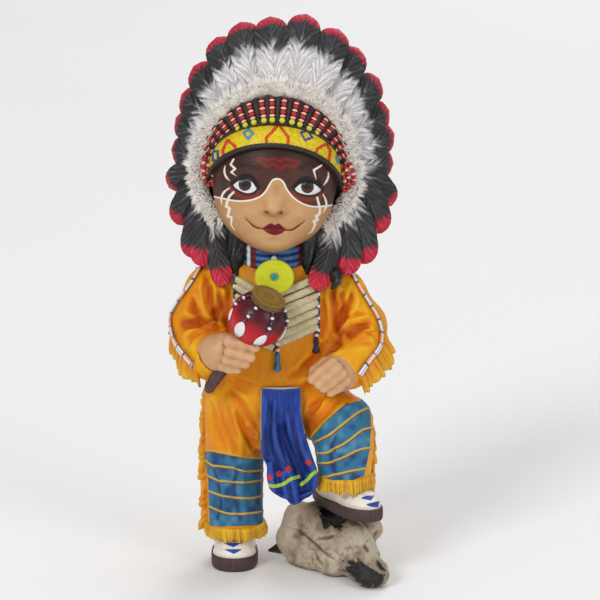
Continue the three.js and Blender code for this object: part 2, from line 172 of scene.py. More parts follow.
class Form:
    def __init__(self, points, quads=(), tris=()):
        self.points = np.asarray(points, float).reshape(-1, 3)
        self.quads = np.asarray(quads, np.int64).reshape(-1, 4)
        self.tris = np.asarray(tris, np.int64).reshape(-1, 3)
        self.values = {}

    def normals(self):
        p = self.points
        total = np.zeros_like(p)
        q, t = self.quads, self.tris
        if len(q):
            face = np.cross(p[q[:, 2]] - p[q[:, 0]], p[q[:, 3]] - p[q[:, 1]])
            for k in range(4):
                for axis in range(3):
                    total[:, axis] += np.bincount(q[:, k], face[:, axis], len(p))
        if len(t):
            face = np.cross(p[t[:, 1]] - p[t[:, 0]], p[t[:, 2]] - p[t[:, 0]])
            for k in range(3):
                for axis in range(3):
                    total[:, axis] += np.bincount(t[:, k], face[:, axis], len(p))
        return unit(total)

    def links(self):
        q, t = self.quads, self.tris
        pairs = [q[:, [0, 1]], q[:, [1, 2]], q[:, [2, 3]], q[:, [3, 0]], t[:, [0, 1]], t[:, [1, 2]],
                 t[:, [2, 0]]]
        pairs = np.vstack(pairs)
        return np.vstack([pairs, pairs[:, ::-1]])

    def spreadValue(self, value, times=1, links=None):
        # each point takes the mean of its neighbours
        links = self.links() if links is None else links
        count = np.maximum(np.bincount(links[:, 0], minlength=len(value)), 1)
        for _ in range(times):
            if value.ndim == 1:
                value = np.bincount(links[:, 0], value[links[:, 1]], len(value)) / count
            else:
                sums = [np.bincount(links[:, 0], value[links[:, 1], k],
                                    len(value)) for k in range(value.shape[1])]
                value = np.stack(sums, axis=1) / count[:, None]
        return value

    def soften(self, times=1, strength=0.5):
        links = self.links()
        for _ in range(times):
            self.points = self.points + strength * (self.spreadValue(self.points, 1, links) - self.points)
        return self

    def hollows(self, reach=4):
        # how deep a point lies under its surroundings, in millimetres: hollows are above zero
        links = self.links()
        normals = self.normals()
        around = self.spreadValue(self.points, reach, links)
        depth = np.sum((around - self.points) * normals, axis=1)
        return self.spreadValue(depth, 2, links)

    def move(self, change):
        self.points = change(self.points)
        return self


def join(forms):
    forms = [f for f in forms if f is not None and len(f.points)]
    names = set().union(*[set(f.values) for f in forms])
    quads, tris, start = [], [], 0
    for f in forms:
        quads.append(f.quads + start)
        tris.append(f.tris + start)
        start += len(f.points)
    out = Form(np.vstack([f.points for f in forms]), np.vstack(quads), np.vstack(tris))
    for name in names:
        sample = next(f.values[name] for f in forms if name in f.values)
        blank = np.zeros(sample.shape[1:])
        parts = [f.values.get(name,
                              np.broadcast_to(blank, (len(f.points),) + sample.shape[1:])) for f in forms]
        out.values[name] = np.concatenate(parts)
    return out


def sheetForm(grid, closedAcross=False, caps=False, closedAlong=False):
    # a grid of points, rows by columns, skinned with four-sided faces
    rows, columns = grid.shape[:2]
    index = np.arange(rows * columns).reshape(rows, columns)
    looped = np.vstack([index, index[:1]]) if closedAlong else index
    looped = np.hstack([looped, looped[:, :1]]) if closedAcross else looped
    left, right = looped[:, :-1], looped[:, 1:]
    quads = np.stack([left[:-1], right[:-1], right[1:], left[1:]], axis=-1).reshape(-1, 4)
    points = grid.reshape(-1, 3)
    tris = []
    if caps:
        points = np.vstack([points, grid[0].mean(0), grid[-1].mean(0)])
        hub = rows * columns
        for k in range(columns):
            n = (k + 1) % columns
            tris.append([hub, index[0, n], index[0, k]])
            tris.append([hub + 1, index[-1, k], index[-1, n]])
    return Form(points, quads, tris)


def turned(form):
    form.quads = form.quads[:, ::-1]
    form.tris = form.tris[:, ::-1]
    return form


def outward(form):
    # turns a closed form inside out if its faces point in
    p, q, t = form.points, form.quads, form.tris
    volume = 0.0
    for a, b, c in ((0, 1, 2), (0, 2, 3)):
        if len(q):
            volume += np.sum(p[q[:, a]] * np.cross(p[q[:, b]], p[q[:, c]]))
    if len(t):
        volume += np.sum(p[t[:, 0]] * np.cross(p[t[:, 1]], p[t[:, 2]]))
    return form if volume > 0 else turned(form)


def outwardsFront(form):
    # turns an open sheet so that it faces the front
    return form if form.normals()[:, 1].mean() < 0 else turned(form)


def rod(path, radii, sides=8, flat=1.0, facing=(0, -1, 0), relief=None):
    # a tube along a path, flattened towards its facing side
    path = np.asarray(path, float)
    radii = np.asarray(radii, float)
    if radii.ndim == 0 or len(radii) != len(path):
        radii = np.interp(np.linspace(0, 1, len(path)), np.linspace(0, 1, radii.size), radii.ravel())
    along = unit(np.gradient(path, axis=0))
    across = unit(np.cross(along, np.asarray(facing, float)))
    out = np.cross(across, along)
    turn = np.linspace(0, 2 * math.pi, sides, endpoint=False)
    size = np.repeat(radii[:, None], sides, axis=1)
    if relief is not None:
        size = size + relief(turn[None, :], np.linspace(0, 1, len(path))[:, None])
    side = (size * np.cos(turn))[..., None] * across[:, None]
    lift = (size * np.sin(turn))[..., None] * out[:, None] * flat
    return outward(sheetForm(path[:, None] + side + lift, closedAcross=True, caps=True))


def bead(at, half, along=(0, 0, 1), wide=8, high=6):
    # a round or oval bead whose hole runs along a line
    along = unit(np.asarray(along, float))
    helper = np.array([0.0, 1.0, 0.0]) if abs(along[1]) < 0.9 else np.array([1.0, 0.0, 0.0])
    a = unit(np.cross(along, helper))
    b = np.cross(along, a)
    level = np.linspace(0, math.pi, high + 1)
    turn = np.linspace(0, 2 * math.pi, wide, endpoint=False)
    ring = np.cos(turn)[:, None] * a * half[0] + np.sin(turn)[:, None] * b * half[1]
    grid = np.sin(level)[1:-1, None, None] * ring[None] + np.cos(level)[1:-1, None, None] * along * half[2]
    form = sheetForm(grid, closedAcross=True)
    count = len(form.points)
    form.points = np.vstack([form.points, along * half[2], -along * half[2]]) + np.asarray(at, float)
    last = (high - 2) * wide
    k = np.arange(wide)
    n = (k + 1) % wide
    form.tris = np.vstack([
        np.stack([np.full(wide, count), n, k], axis=1),
        np.stack([np.full(wide, count + 1), last + k, last + n], axis=1),
    ])
    return outward(form)


def painted(form, colour):
    form.values["paint"] = np.broadcast_to(np.asarray(colour, float), (len(form.points), 3)).copy()
    return form


# Clay: solid shapes are pressed together on a lattice of distances, and the skin is taken off it

class Clay:
    def __init__(self, low, high, step):
        self.step = step * carver["fine"]
        self.low = np.asarray(low, float)
        counts = np.ceil((np.asarray(high) - self.low) / self.step).astype(int) + 1
        self.axes = [self.low[k] + self.step * np.arange(counts[k]) for k in range(3)]
        self.field = np.full(counts, 9.0, np.float32)

    def block(self, low, high):
        cuts = []
        for k in range(3):
            a = int(np.clip(np.searchsorted(self.axes[k], low[k]), 0, len(self.axes[k]) - 1))
            b = int(np.clip(np.searchsorted(self.axes[k], high[k]) + 1, a + 1, len(self.axes[k])))
            cuts.append(slice(a, b))
        x, y, z = np.meshgrid(*[self.axes[k][cuts[k]] for k in range(3)], indexing="ij")
        return tuple(cuts), np.stack([x, y, z], axis=-1).astype(np.float32)

    def add(self, shape, blend=1.0):
        distance, low, high = shape
        cuts, p = self.block(np.asarray(low) - blend * 2 - 2, np.asarray(high) + blend * 2 + 2)
        old, new = self.field[cuts], distance(p)
        h = np.clip(0.5 + 0.5 * (old - new) / blend, 0, 1)
        self.field[cuts] = old * (1 - h) + new * h - blend * h * (1 - h)
        return self

    def cut(self, shape, blend=0.5):
        distance, low, high = shape
        cuts, p = self.block(np.asarray(low) - blend * 2, np.asarray(high) + blend * 2)
        old, new = self.field[cuts], -distance(p)
        h = np.clip(0.5 + 0.5 * (new - old) / blend, 0, 1)
        self.field[cuts] = old * (1 - h) + new * h + blend * h * (1 - h)
        return self

    def trim(self, axis, limit, keepAbove=True):
        # cuts the clay flat at a plane
        shape = [1, 1, 1]
        shape[axis] = -1
        edge = (limit - self.axes[axis]) if keepAbove else (self.axes[axis] - limit)
        self.field = np.maximum(self.field, edge.reshape(shape).astype(np.float32))
        return self

    def sample(self, points):
        q = (points - self.low) / self.step
        size = np.array(self.field.shape)
        q = np.clip(q, 0, size - 1.001)
        c = np.floor(q).astype(int)
        f = q - c
        total = 0
        for dx in (0, 1):
            for dy in (0, 1):
                for dz in (0, 1):
                    w = (f[:, 0] if dx else 1 - f[:, 0]) * (f[:, 1] if dy else 1 - f[:, 1])
                    w = w * (f[:, 2] if dz else 1 - f[:, 2])
                    total = total + w * self.field[c[:, 0] + dx, c[:, 1] + dy, c[:, 2] + dz]
        return total

    def slope(self, points):
        step = self.step * 0.5
        sides = [self.sample(points + step * way) - self.sample(points - step * way) for way in np.eye(3)]
        return unit(np.stack(sides, axis=1))

    def skin(self):
        field = np.pad(self.field, 1, constant_values=9.0)
        inside = field < 0
        corners = [(a, b, c) for a in (0, 1) for b in (0, 1) for c in (0, 1)]
        nx, ny, nz = np.array(field.shape) - 1
        view = {c: (slice(c[0], c[0] + nx), slice(c[1], c[1] + ny), slice(c[2], c[2] + nz)) for c in corners}
        count = sum(inside[view[c]].astype(np.uint8) for c in corners)
        cells = np.argwhere((count > 0) & (count < 8))
        number = np.full((nx, ny, nz), -1, np.int64)
        number[tuple(cells.T)] = np.arange(len(cells))
        place = np.zeros((len(cells), 3))
        hits = np.zeros(len(cells))
        for a in corners:
            for axis in range(3):
                if a[axis]:
                    continue
                b = tuple(1 if k == axis else a[k] for k in range(3))
                va = field[tuple((cells + a).T)]
                vb = field[tuple((cells + b).T)]
                crosses = (va < 0) != (vb < 0)
                t = np.where(crosses, va / np.where(crosses, va - vb, 1), 0)
                spot = np.asarray(a, float)[None] + t[:, None] * (np.asarray(b) - np.asarray(a))[None]
                place += np.where(crosses[:, None], spot, 0)
                hits += crosses
        place = place / hits[:, None] + cells - 1
        quads = []
        for axis in range(3):
            u, v = [k for k in range(3) if k != axis]
            first = [slice(1, n) for n in (nx, ny, nz)]
            first[axis] = slice(0, (nx, ny, nz)[axis])
            second = list(first)
            second[axis] = slice(1, (nx, ny, nz)[axis] + 1)
            here, there = inside[tuple(first)], inside[tuple(second)]
            for flip, mask in ((False, here & ~there), (True, there & ~here)):
                at = np.argwhere(mask)
                at[:, u] += 1
                at[:, v] += 1
                ring = []
                for du, dv in ((-1, -1), (0, -1), (0, 0), (-1, 0)):
                    c = at.copy()
                    c[:, u] += du
                    c[:, v] += dv
                    ring.append(number[tuple(c.T)])
                ring = np.stack(ring, axis=1)
                if flip != (axis == 1):
                    ring = ring[:, ::-1]
                quads.append(ring)
        form = Form(self.low + place * self.step, np.vstack(quads))
        for _ in range(2):
            step = self.step * 0.5
            value = self.sample(form.points)
            slope = np.stack([
                self.sample(form.points + step * np.eye(3)[k])
                - self.sample(form.points - step * np.eye(3)[k])
                for k in range(3)
            ], axis=1) / (2 * step)
            strength = np.maximum(np.sum(slope ** 2, axis=1), 0.25)
            form.points = form.points - np.clip(value / strength, -step, step)[:, None] * slope
        return outward(form)


def lump(at, half, turn=None):
    # an egg shape; turn is a matrix whose rows are its own axes
    at, half = np.asarray(at, float), np.asarray(half, float)
    reach = np.full(3, half.max()) if turn is not None else half

    def distance(p):
        q = p - at
        if turn is not None:
            q = q @ np.asarray(turn, np.float32).T
        k0 = np.linalg.norm(q / half, axis=-1)
        k1 = np.linalg.norm(q / half ** 2, axis=-1)
        return (k0 * (k0 - 1) / np.maximum(k1, 1e-6)).astype(np.float32)

    return distance, at - reach, at + reach


def limb(path, radii, squash=None, blend=1.0):
    # round cones from joint to joint; squash is (direction, factor), which flattens the whole limb that way
    path = [np.asarray(p, float) for p in path]

    def distance(p):
        best = None
        for a, b, ra, rb in zip(path[:-1], path[1:], radii[:-1], radii[1:]):
            ab = b - a
            q = p - a
            h = np.clip((q @ ab) / max(ab @ ab, 1e-9), 0, 1)
            rest = q - h[..., None] * ab
            if squash is not None:
                way = unit(np.asarray(squash[0], float))
                push = rest @ way
                rest = rest + (push * (squash[1] - 1))[..., None] * way
            d = np.linalg.norm(rest, axis=-1) - (ra + (rb - ra) * h)
            if best is None:
                best = d
            else:
                h = np.clip(0.5 + 0.5 * (best - d) / blend, 0, 1)
                best = best * (1 - h) + d * h - blend * h * (1 - h)
        return best.astype(np.float32)

    reach = max(radii) + 1
    return distance, np.min(path, axis=0) - reach, np.max(path, axis=0) + reach


def loft(levels, x, y, wide, deep, roundness=2.0):
    # an upright trunk whose middle and half sizes change with height
    levels = np.asarray(levels, float)

    def distance(p):
        z = p[..., 2]
        at = [np.interp(z, levels, v) for v in (x, y, wide, deep)]
        k = (np.abs((p[..., 0] - at[0]) / at[2]) ** roundness
             + np.abs((p[..., 1] - at[1]) / at[3]) ** roundness)
        side = (k ** (1 / roundness) - 1) * np.minimum(at[2], at[3])
        ends = np.maximum(levels[0] - z, z - levels[-1])
        return np.maximum(side, ends).astype(np.float32)

    wide, deep = np.asarray(wide, float), np.asarray(deep, float)
    low = np.array([np.min(np.asarray(x) - wide), np.min(np.asarray(y) - deep), levels[0]])
    high = np.array([np.max(np.asarray(x) + wide), np.max(np.asarray(y) + deep), levels[-1]])
    return distance, low, high


# Materials

class Wire:
    # one output in a material's nodes, so that sums on it read as sums
    def __init__(self, finish, socket):
        self.finish, self.socket = finish, socket

    def sum(self, operation, *others, clamp=False):
        node = self.finish.tree.nodes.new("ShaderNodeMath")
        node.operation = operation
        node.use_clamp = clamp
        for entry, value in zip(node.inputs, (self, *others)):
            self.finish.feed(entry, value)
        return Wire(self.finish, node.outputs[0])

    def __add__(self, other):
        return self.sum("ADD", other)

    def __radd__(self, other):
        return self.sum("ADD", other)

    def __sub__(self, other):
        return self.sum("SUBTRACT", other)

    def __rsub__(self, other):
        return self.sum("SUBTRACT", other) * -1.0

    def __mul__(self, other):
        return self.sum("MULTIPLY", other)

    def __rmul__(self, other):
        return self.sum("MULTIPLY", other)

    def clamped(self):
        return self.sum("ADD", 0.0, clamp=True)


class Finish:
    def __init__(self, name):
        self.material = bpy.data.materials.new(name)
        self.material.use_nodes = True
        self.tree = self.material.node_tree
        self.tree.nodes.clear()
        self.shader = self.tree.nodes.new("ShaderNodeBsdfPrincipled")
        output = self.tree.nodes.new("ShaderNodeOutputMaterial")
        self.tree.links.new(self.shader.outputs[0], output.inputs[0])

    def feed(self, entry, value):
        if isinstance(value, Wire):
            self.tree.links.new(value.socket, entry)
        elif value is not None:
            if hasattr(entry.default_value, "__len__") and len(entry.default_value) == 4 and len(value) == 3:
                value = (*value, 1.0)
            entry.default_value = value

    def add(self, kind, settings=None, inputs=None, output=0):
        node = self.tree.nodes.new(kind)
        for name, value in (settings or {}).items():
            setattr(node, name, value)
        for name, value in (inputs or {}).items():
            self.feed(node.inputs[name], value)
        return Wire(self, node.outputs[output])

    def place(self):
        return self.add("ShaderNodeTexCoord", output="Object")

    def noise(self, size, detail=3.0, rough=0.5, where=None):
        scale = 1 / (size * drawing["millimetre"])
        return self.add("ShaderNodeTexNoise", None, {
            "Vector": where or self.place(), "Scale": scale, "Detail": detail, "Roughness": rough,
        })

    def attribute(self, name, output="Fac"):
        return self.add("ShaderNodeAttribute", {"attribute_name": name}, output=output)

    def blend(self, share, first, second, how="MIX"):
        node = self.tree.nodes.new("ShaderNodeMix")
        node.data_type = "RGBA"
        node.blend_type = how
        self.feed(node.inputs["Factor"], share)
        self.feed(node.inputs["A"], first)
        self.feed(node.inputs["B"], second)
        return Wire(self, node.outputs["Result"])

    def paint(self, name, value):
        self.feed(self.shader.inputs[name], value)


def resinFinish(name, look=None):
    # hand painted resin: brush colours on the points, a worn mottle, crisp strokes on top and a fine cast grain
    look = {"mottle": 0.10, "mottleSize": 2.2, "rough": 0.42, "roughSpread": 0.14, "grain": 0.10,
            "grainSize": 0.35,
            "coat": 0.0, "shine": 0.4, "strokes": (), "edge": 0.10, "speck": 0.0, **(look or {})}
    f = Finish(name)
    colour = f.attribute("paint", "Color")
    patches = f.noise(look["mottleSize"], 4.0, 0.6)
    darker = f.blend(patches, (0.55, 0.5, 0.48), (1.25, 1.24, 1.22))
    colour = f.blend(look["mottle"] * 2, colour, f.blend(1.0, colour, darker, "MULTIPLY"))
    wobble = (f.noise(0.9, 2.0, 0.5) - 0.5) * 0.22 if look["strokes"] else None
    worn = (1 - (f.noise(0.5, 3.0, 0.6) - 0.62).clamped() * 1.6).clamped() if look["strokes"] else None
    for stroke, tint in look["strokes"]:
        share = (0.5 - (f.attribute(stroke) + wobble) * (1 / look["edge"])).clamped()
        if isinstance(tint, str):
            colour = f.blend(share, colour, f.attribute(tint, "Color"))
        else:
            colour = f.blend(share * worn, colour, tuple(tint))
    if look["speck"]:
        spots = ((f.noise(0.55, 2.0, 0.5) - 0.63) * 14).clamped()
        colour = f.blend(spots * look["speck"], colour, (0.05, 0.035, 0.03))
    f.paint("Base Color", colour)
    f.paint("Roughness", f.noise(1.1, 3.0, 0.6) * look["roughSpread"]
            + (look["rough"] - look["roughSpread"] / 2))
    relief = f.noise(look["grainSize"], 3.0, 0.6) + f.noise(look["grainSize"] * 4, 2.0, 0.5) * 1.4
    bump = f.add("ShaderNodeBump", None, {
        "Height": relief, "Strength": look["grain"], "Distance": 0.3 * drawing["millimetre"],
    })
    f.paint("Normal", bump)
    f.paint("Specular IOR Level", look["shine"])
    f.paint("Coat Weight", look["coat"])
    f.paint("Coat Roughness", 0.12)
    return f.material


def makePiece(name, form, material):
    mesh = bpy.data.meshes.new(name)
    points = (form.points - drawing["middle"]) * drawing["millimetre"]
    mesh.vertices.add(len(points))
    mesh.vertices.foreach_set("co", points.astype(np.float32).ravel())
    corners = np.concatenate([form.quads.ravel(), form.tris.ravel()])
    fours, threes = len(form.quads), len(form.tris)
    mesh.loops.add(len(corners))
    mesh.loops.foreach_set("vertex_index", corners.astype(np.int32))
    starts = np.concatenate([np.arange(fours) * 4, fours * 4 + np.arange(threes) * 3])
    mesh.polygons.add(fours + threes)
    mesh.polygons.foreach_set("loop_start", starts.astype(np.int32))
    mesh.update(calc_edges=True)
    mesh.polygons.foreach_set("use_smooth", np.ones(fours + threes, bool))
    for label, value in form.values.items():
        if value.ndim == 2:
            layer = mesh.attributes.new(label, "FLOAT_COLOR", "POINT")
            full = np.concatenate([np.clip(value, 0, 4), np.ones((len(value), 1))], axis=1)
            layer.data.foreach_set("color", full.astype(np.float32).ravel())
        else:
            layer = mesh.attributes.new(label, "FLOAT", "POINT")
            layer.data.foreach_set("value", value.astype(np.float32))
    mesh.materials.append(material)
    mesh.validate()
    piece = bpy.data.objects.new(name, mesh)
    bpy.context.scene.collection.objects.link(piece)
    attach(piece, "root")
    print("made", name, len(mesh.polygons), "faces")
    return piece


# The head leans a little to the right; head points are laid out from the foot of the neck

head = {"neck": (-10.4, 0.0, 118.0), "lean": 3.0, "crownHeight": 22.4}


def headToDrawing(p):
    s, c = math.sin(math.radians(head["lean"])), math.cos(math.radians(head["lean"]))
    x, y, z = p[..., 0], p[..., 1], p[..., 2]
    return np.stack([x * c + z * s + head["neck"][0], y + head["neck"][1], z * c - x * s + head["neck"][2]],
                    axis=-1)


def drawingToHead(p):
    s, c = math.sin(math.radians(head["lean"])), math.cos(math.radians(head["lean"]))
    x, y, z = (p[..., k] - head["neck"][k] for k in range(3))
    return np.stack([x * c - z * s, y, z * c + x * s], axis=-1)


def ringPoint(angle, reach, depth, height=None):
    height = head["crownHeight"] if height is None else height
    return np.stack([reach * np.sin(angle), depth + 0 * angle, height + reach * np.cos(angle)], axis=-1)


# Face

face = {
    "cranium": ((0, -3.0, 25.5), (22.3, 20.6, 23.6)),
    "jaw": ((0, -5.4, 16.6), (19.2, 17.2, 16.9)),
    "eyes": (((-10.3, -18.3, 24.4), (5.6, 3.3, 3.5)), ((11.3, -18.2, 24.6), (5.8, 3.3, 3.5))),
    "noseTip": ((0.2, -23.5, 17.7), (3.2, 2.9, 2.6)),
    "skin": rgb(198, 153, 105), "skinShade": rgb(160, 108, 64), "light": rgb(222, 184, 134),
    "mask": rgb(74, 42, 34), "maskDark": rgb(42, 28, 25), "maskRed": rgb(138, 50, 34),
    "white": rgb(236, 226, 214), "red": rgb(128, 28, 22), "lip": rgb(106, 14, 26),
    "lipDark": rgb(116, 20, 22),
    "eyeWhite": rgb(222, 222, 224), "iris": rgb(72, 36, 32), "black": rgb(22, 18, 20),
}
facePaint = {
    "maskEdge": [(208, 194.5), (214.8, 196.8), (223.9, 198.6), (231.6, 200.4), (240.2, 201.1), (249.7, 200.4),
                 (257.4, 198), (262.2, 195.1), (266, 190.8), (268.9, 186), (271.3, 181.7), (274.1, 179.5),
                 (277.5, 178.8), (280.8, 179.8), (283.7, 182.7), (285.6, 187), (288.5, 191.7), (292.3, 196.5),
                 (297.6, 200.8), (305.2, 204.7), (312.9, 206.6), (320.5, 206.6), (330.6, 205.3), (345, 202)],
    "whiteLines": [
        ([(225.1, 165.9), (224.4, 170.7), (225.4, 175.5), (227.7, 178.8), (230.4, 181.2)], 0.36),
        ([(328.2, 172.1), (328.4, 176.4), (326.8, 180.7), (323.4, 185.5)], 0.36),
        ([(229.7, 187.9), (224.9, 191.3), (222, 195.6), (221.2, 200.4), (221.8, 205.1)], 0.38),
        ([(322.9, 194.1), (325.5, 199.4), (326.5, 205.1), (324.8, 209.9), (322.9, 212.8)], 0.38),
    ],
    "whiteZigzags": [
        ([(233.5, 159.4), (230.6, 164.5), (235.2, 168.8), (231.1, 172.1), (236.2, 176)], 0.4),
        ([(321.5, 165.4), (313.8, 170.2), (316.2, 179.5)], 0.4),
        ([(233.5, 192.2), (229.2, 196.5), (227.3, 201.3), (226.3, 206.6), (229.7, 208.5), (227.7, 216.1),
          (231.6, 217.6), (231.1, 225.2), (234.9, 230.5)], 0.48),
        ([(317.2, 197.5), (320.1, 209), (319.6, 213.8), (316.2, 216.1), (317.7, 219.5), (313.8, 221.4),
          (315.3, 224.3), (311.9, 231.5), (308.1, 233.8)], 0.48),
    ],
    "redZigzags": [
        ([(257.4, 158.7), (262.7, 157.8), (267, 160.7), (273.2, 158.3), (279.4, 161.1), (286.1, 158.3),
          (291.8, 160.2), (300, 161.6)], 0.45),
        ([(257.4, 160.2), (262.7, 163.5), (267.4, 166.4), (273.2, 164.5), (279.9, 168.6), (286.6, 165.4),
          (293.3, 166.9), (300, 162.8)], 0.5),
    ],
    # the upper and the lower edge of each painted eye, and the middle of its iris
    "eyes": [([(232.6, 184.8), (236.5, 181.2), (240.5, 178.9), (245, 177.9), (250, 179.1), (254.2, 182.8),
               (257.6, 188.6)],
              [(232.6, 184.8), (235.4, 188.2), (239.7, 191), (244.5, 192.9), (249.8, 193.3), (254.2, 191.8),
               (257.6, 188.6)],
              (244.9, 184.4)),
             ([(294.2, 188.9), (297.8, 184.9), (302.5, 181.6), (308.1, 180.6), (313.8, 182.4),
               (318.4, 185.8), (322, 189.8)],
              [(294.2, 188.9), (296.9, 191.6), (300.6, 193.5), (307.2, 195), (313.8, 194.6), (318.6, 192.7),
               (322, 189.8)],
              (307.5, 186.8))],
    "irisRadius": 2.3,
    "lipTop": [(262.2, 228.8), (266, 225.8), (270.8, 223.2), (274.8, 224.9), (278.4, 223.2), (282.6, 226.4),
               (286.1, 230)],
    "lipBottom": [(286.1, 230), (281, 233.6), (274.6, 235.2), (268, 233.2), (262.2, 228.8)],
    "smile": [(245.4, 218.5), (249.7, 222.4), (254.5, 226.7), (262.2, 228.8), (274.5, 229.4), (286.1, 230),
              (291.8, 230), (296.6, 227.1), (305.2, 220.9)],
    "nostrils": [(267.6, 213), (280.4, 213)],
    "browLines": [[(236, 167), (246, 164.5), (257.5, 166.5)], [(301, 168.2), (308, 165), (317, 167)]],
}


def eyeOutline(eye, count=15):
    # the upper and the lower edge between the two corners
    return smoothLine(eye[0], count), smoothLine(eye[1], count)


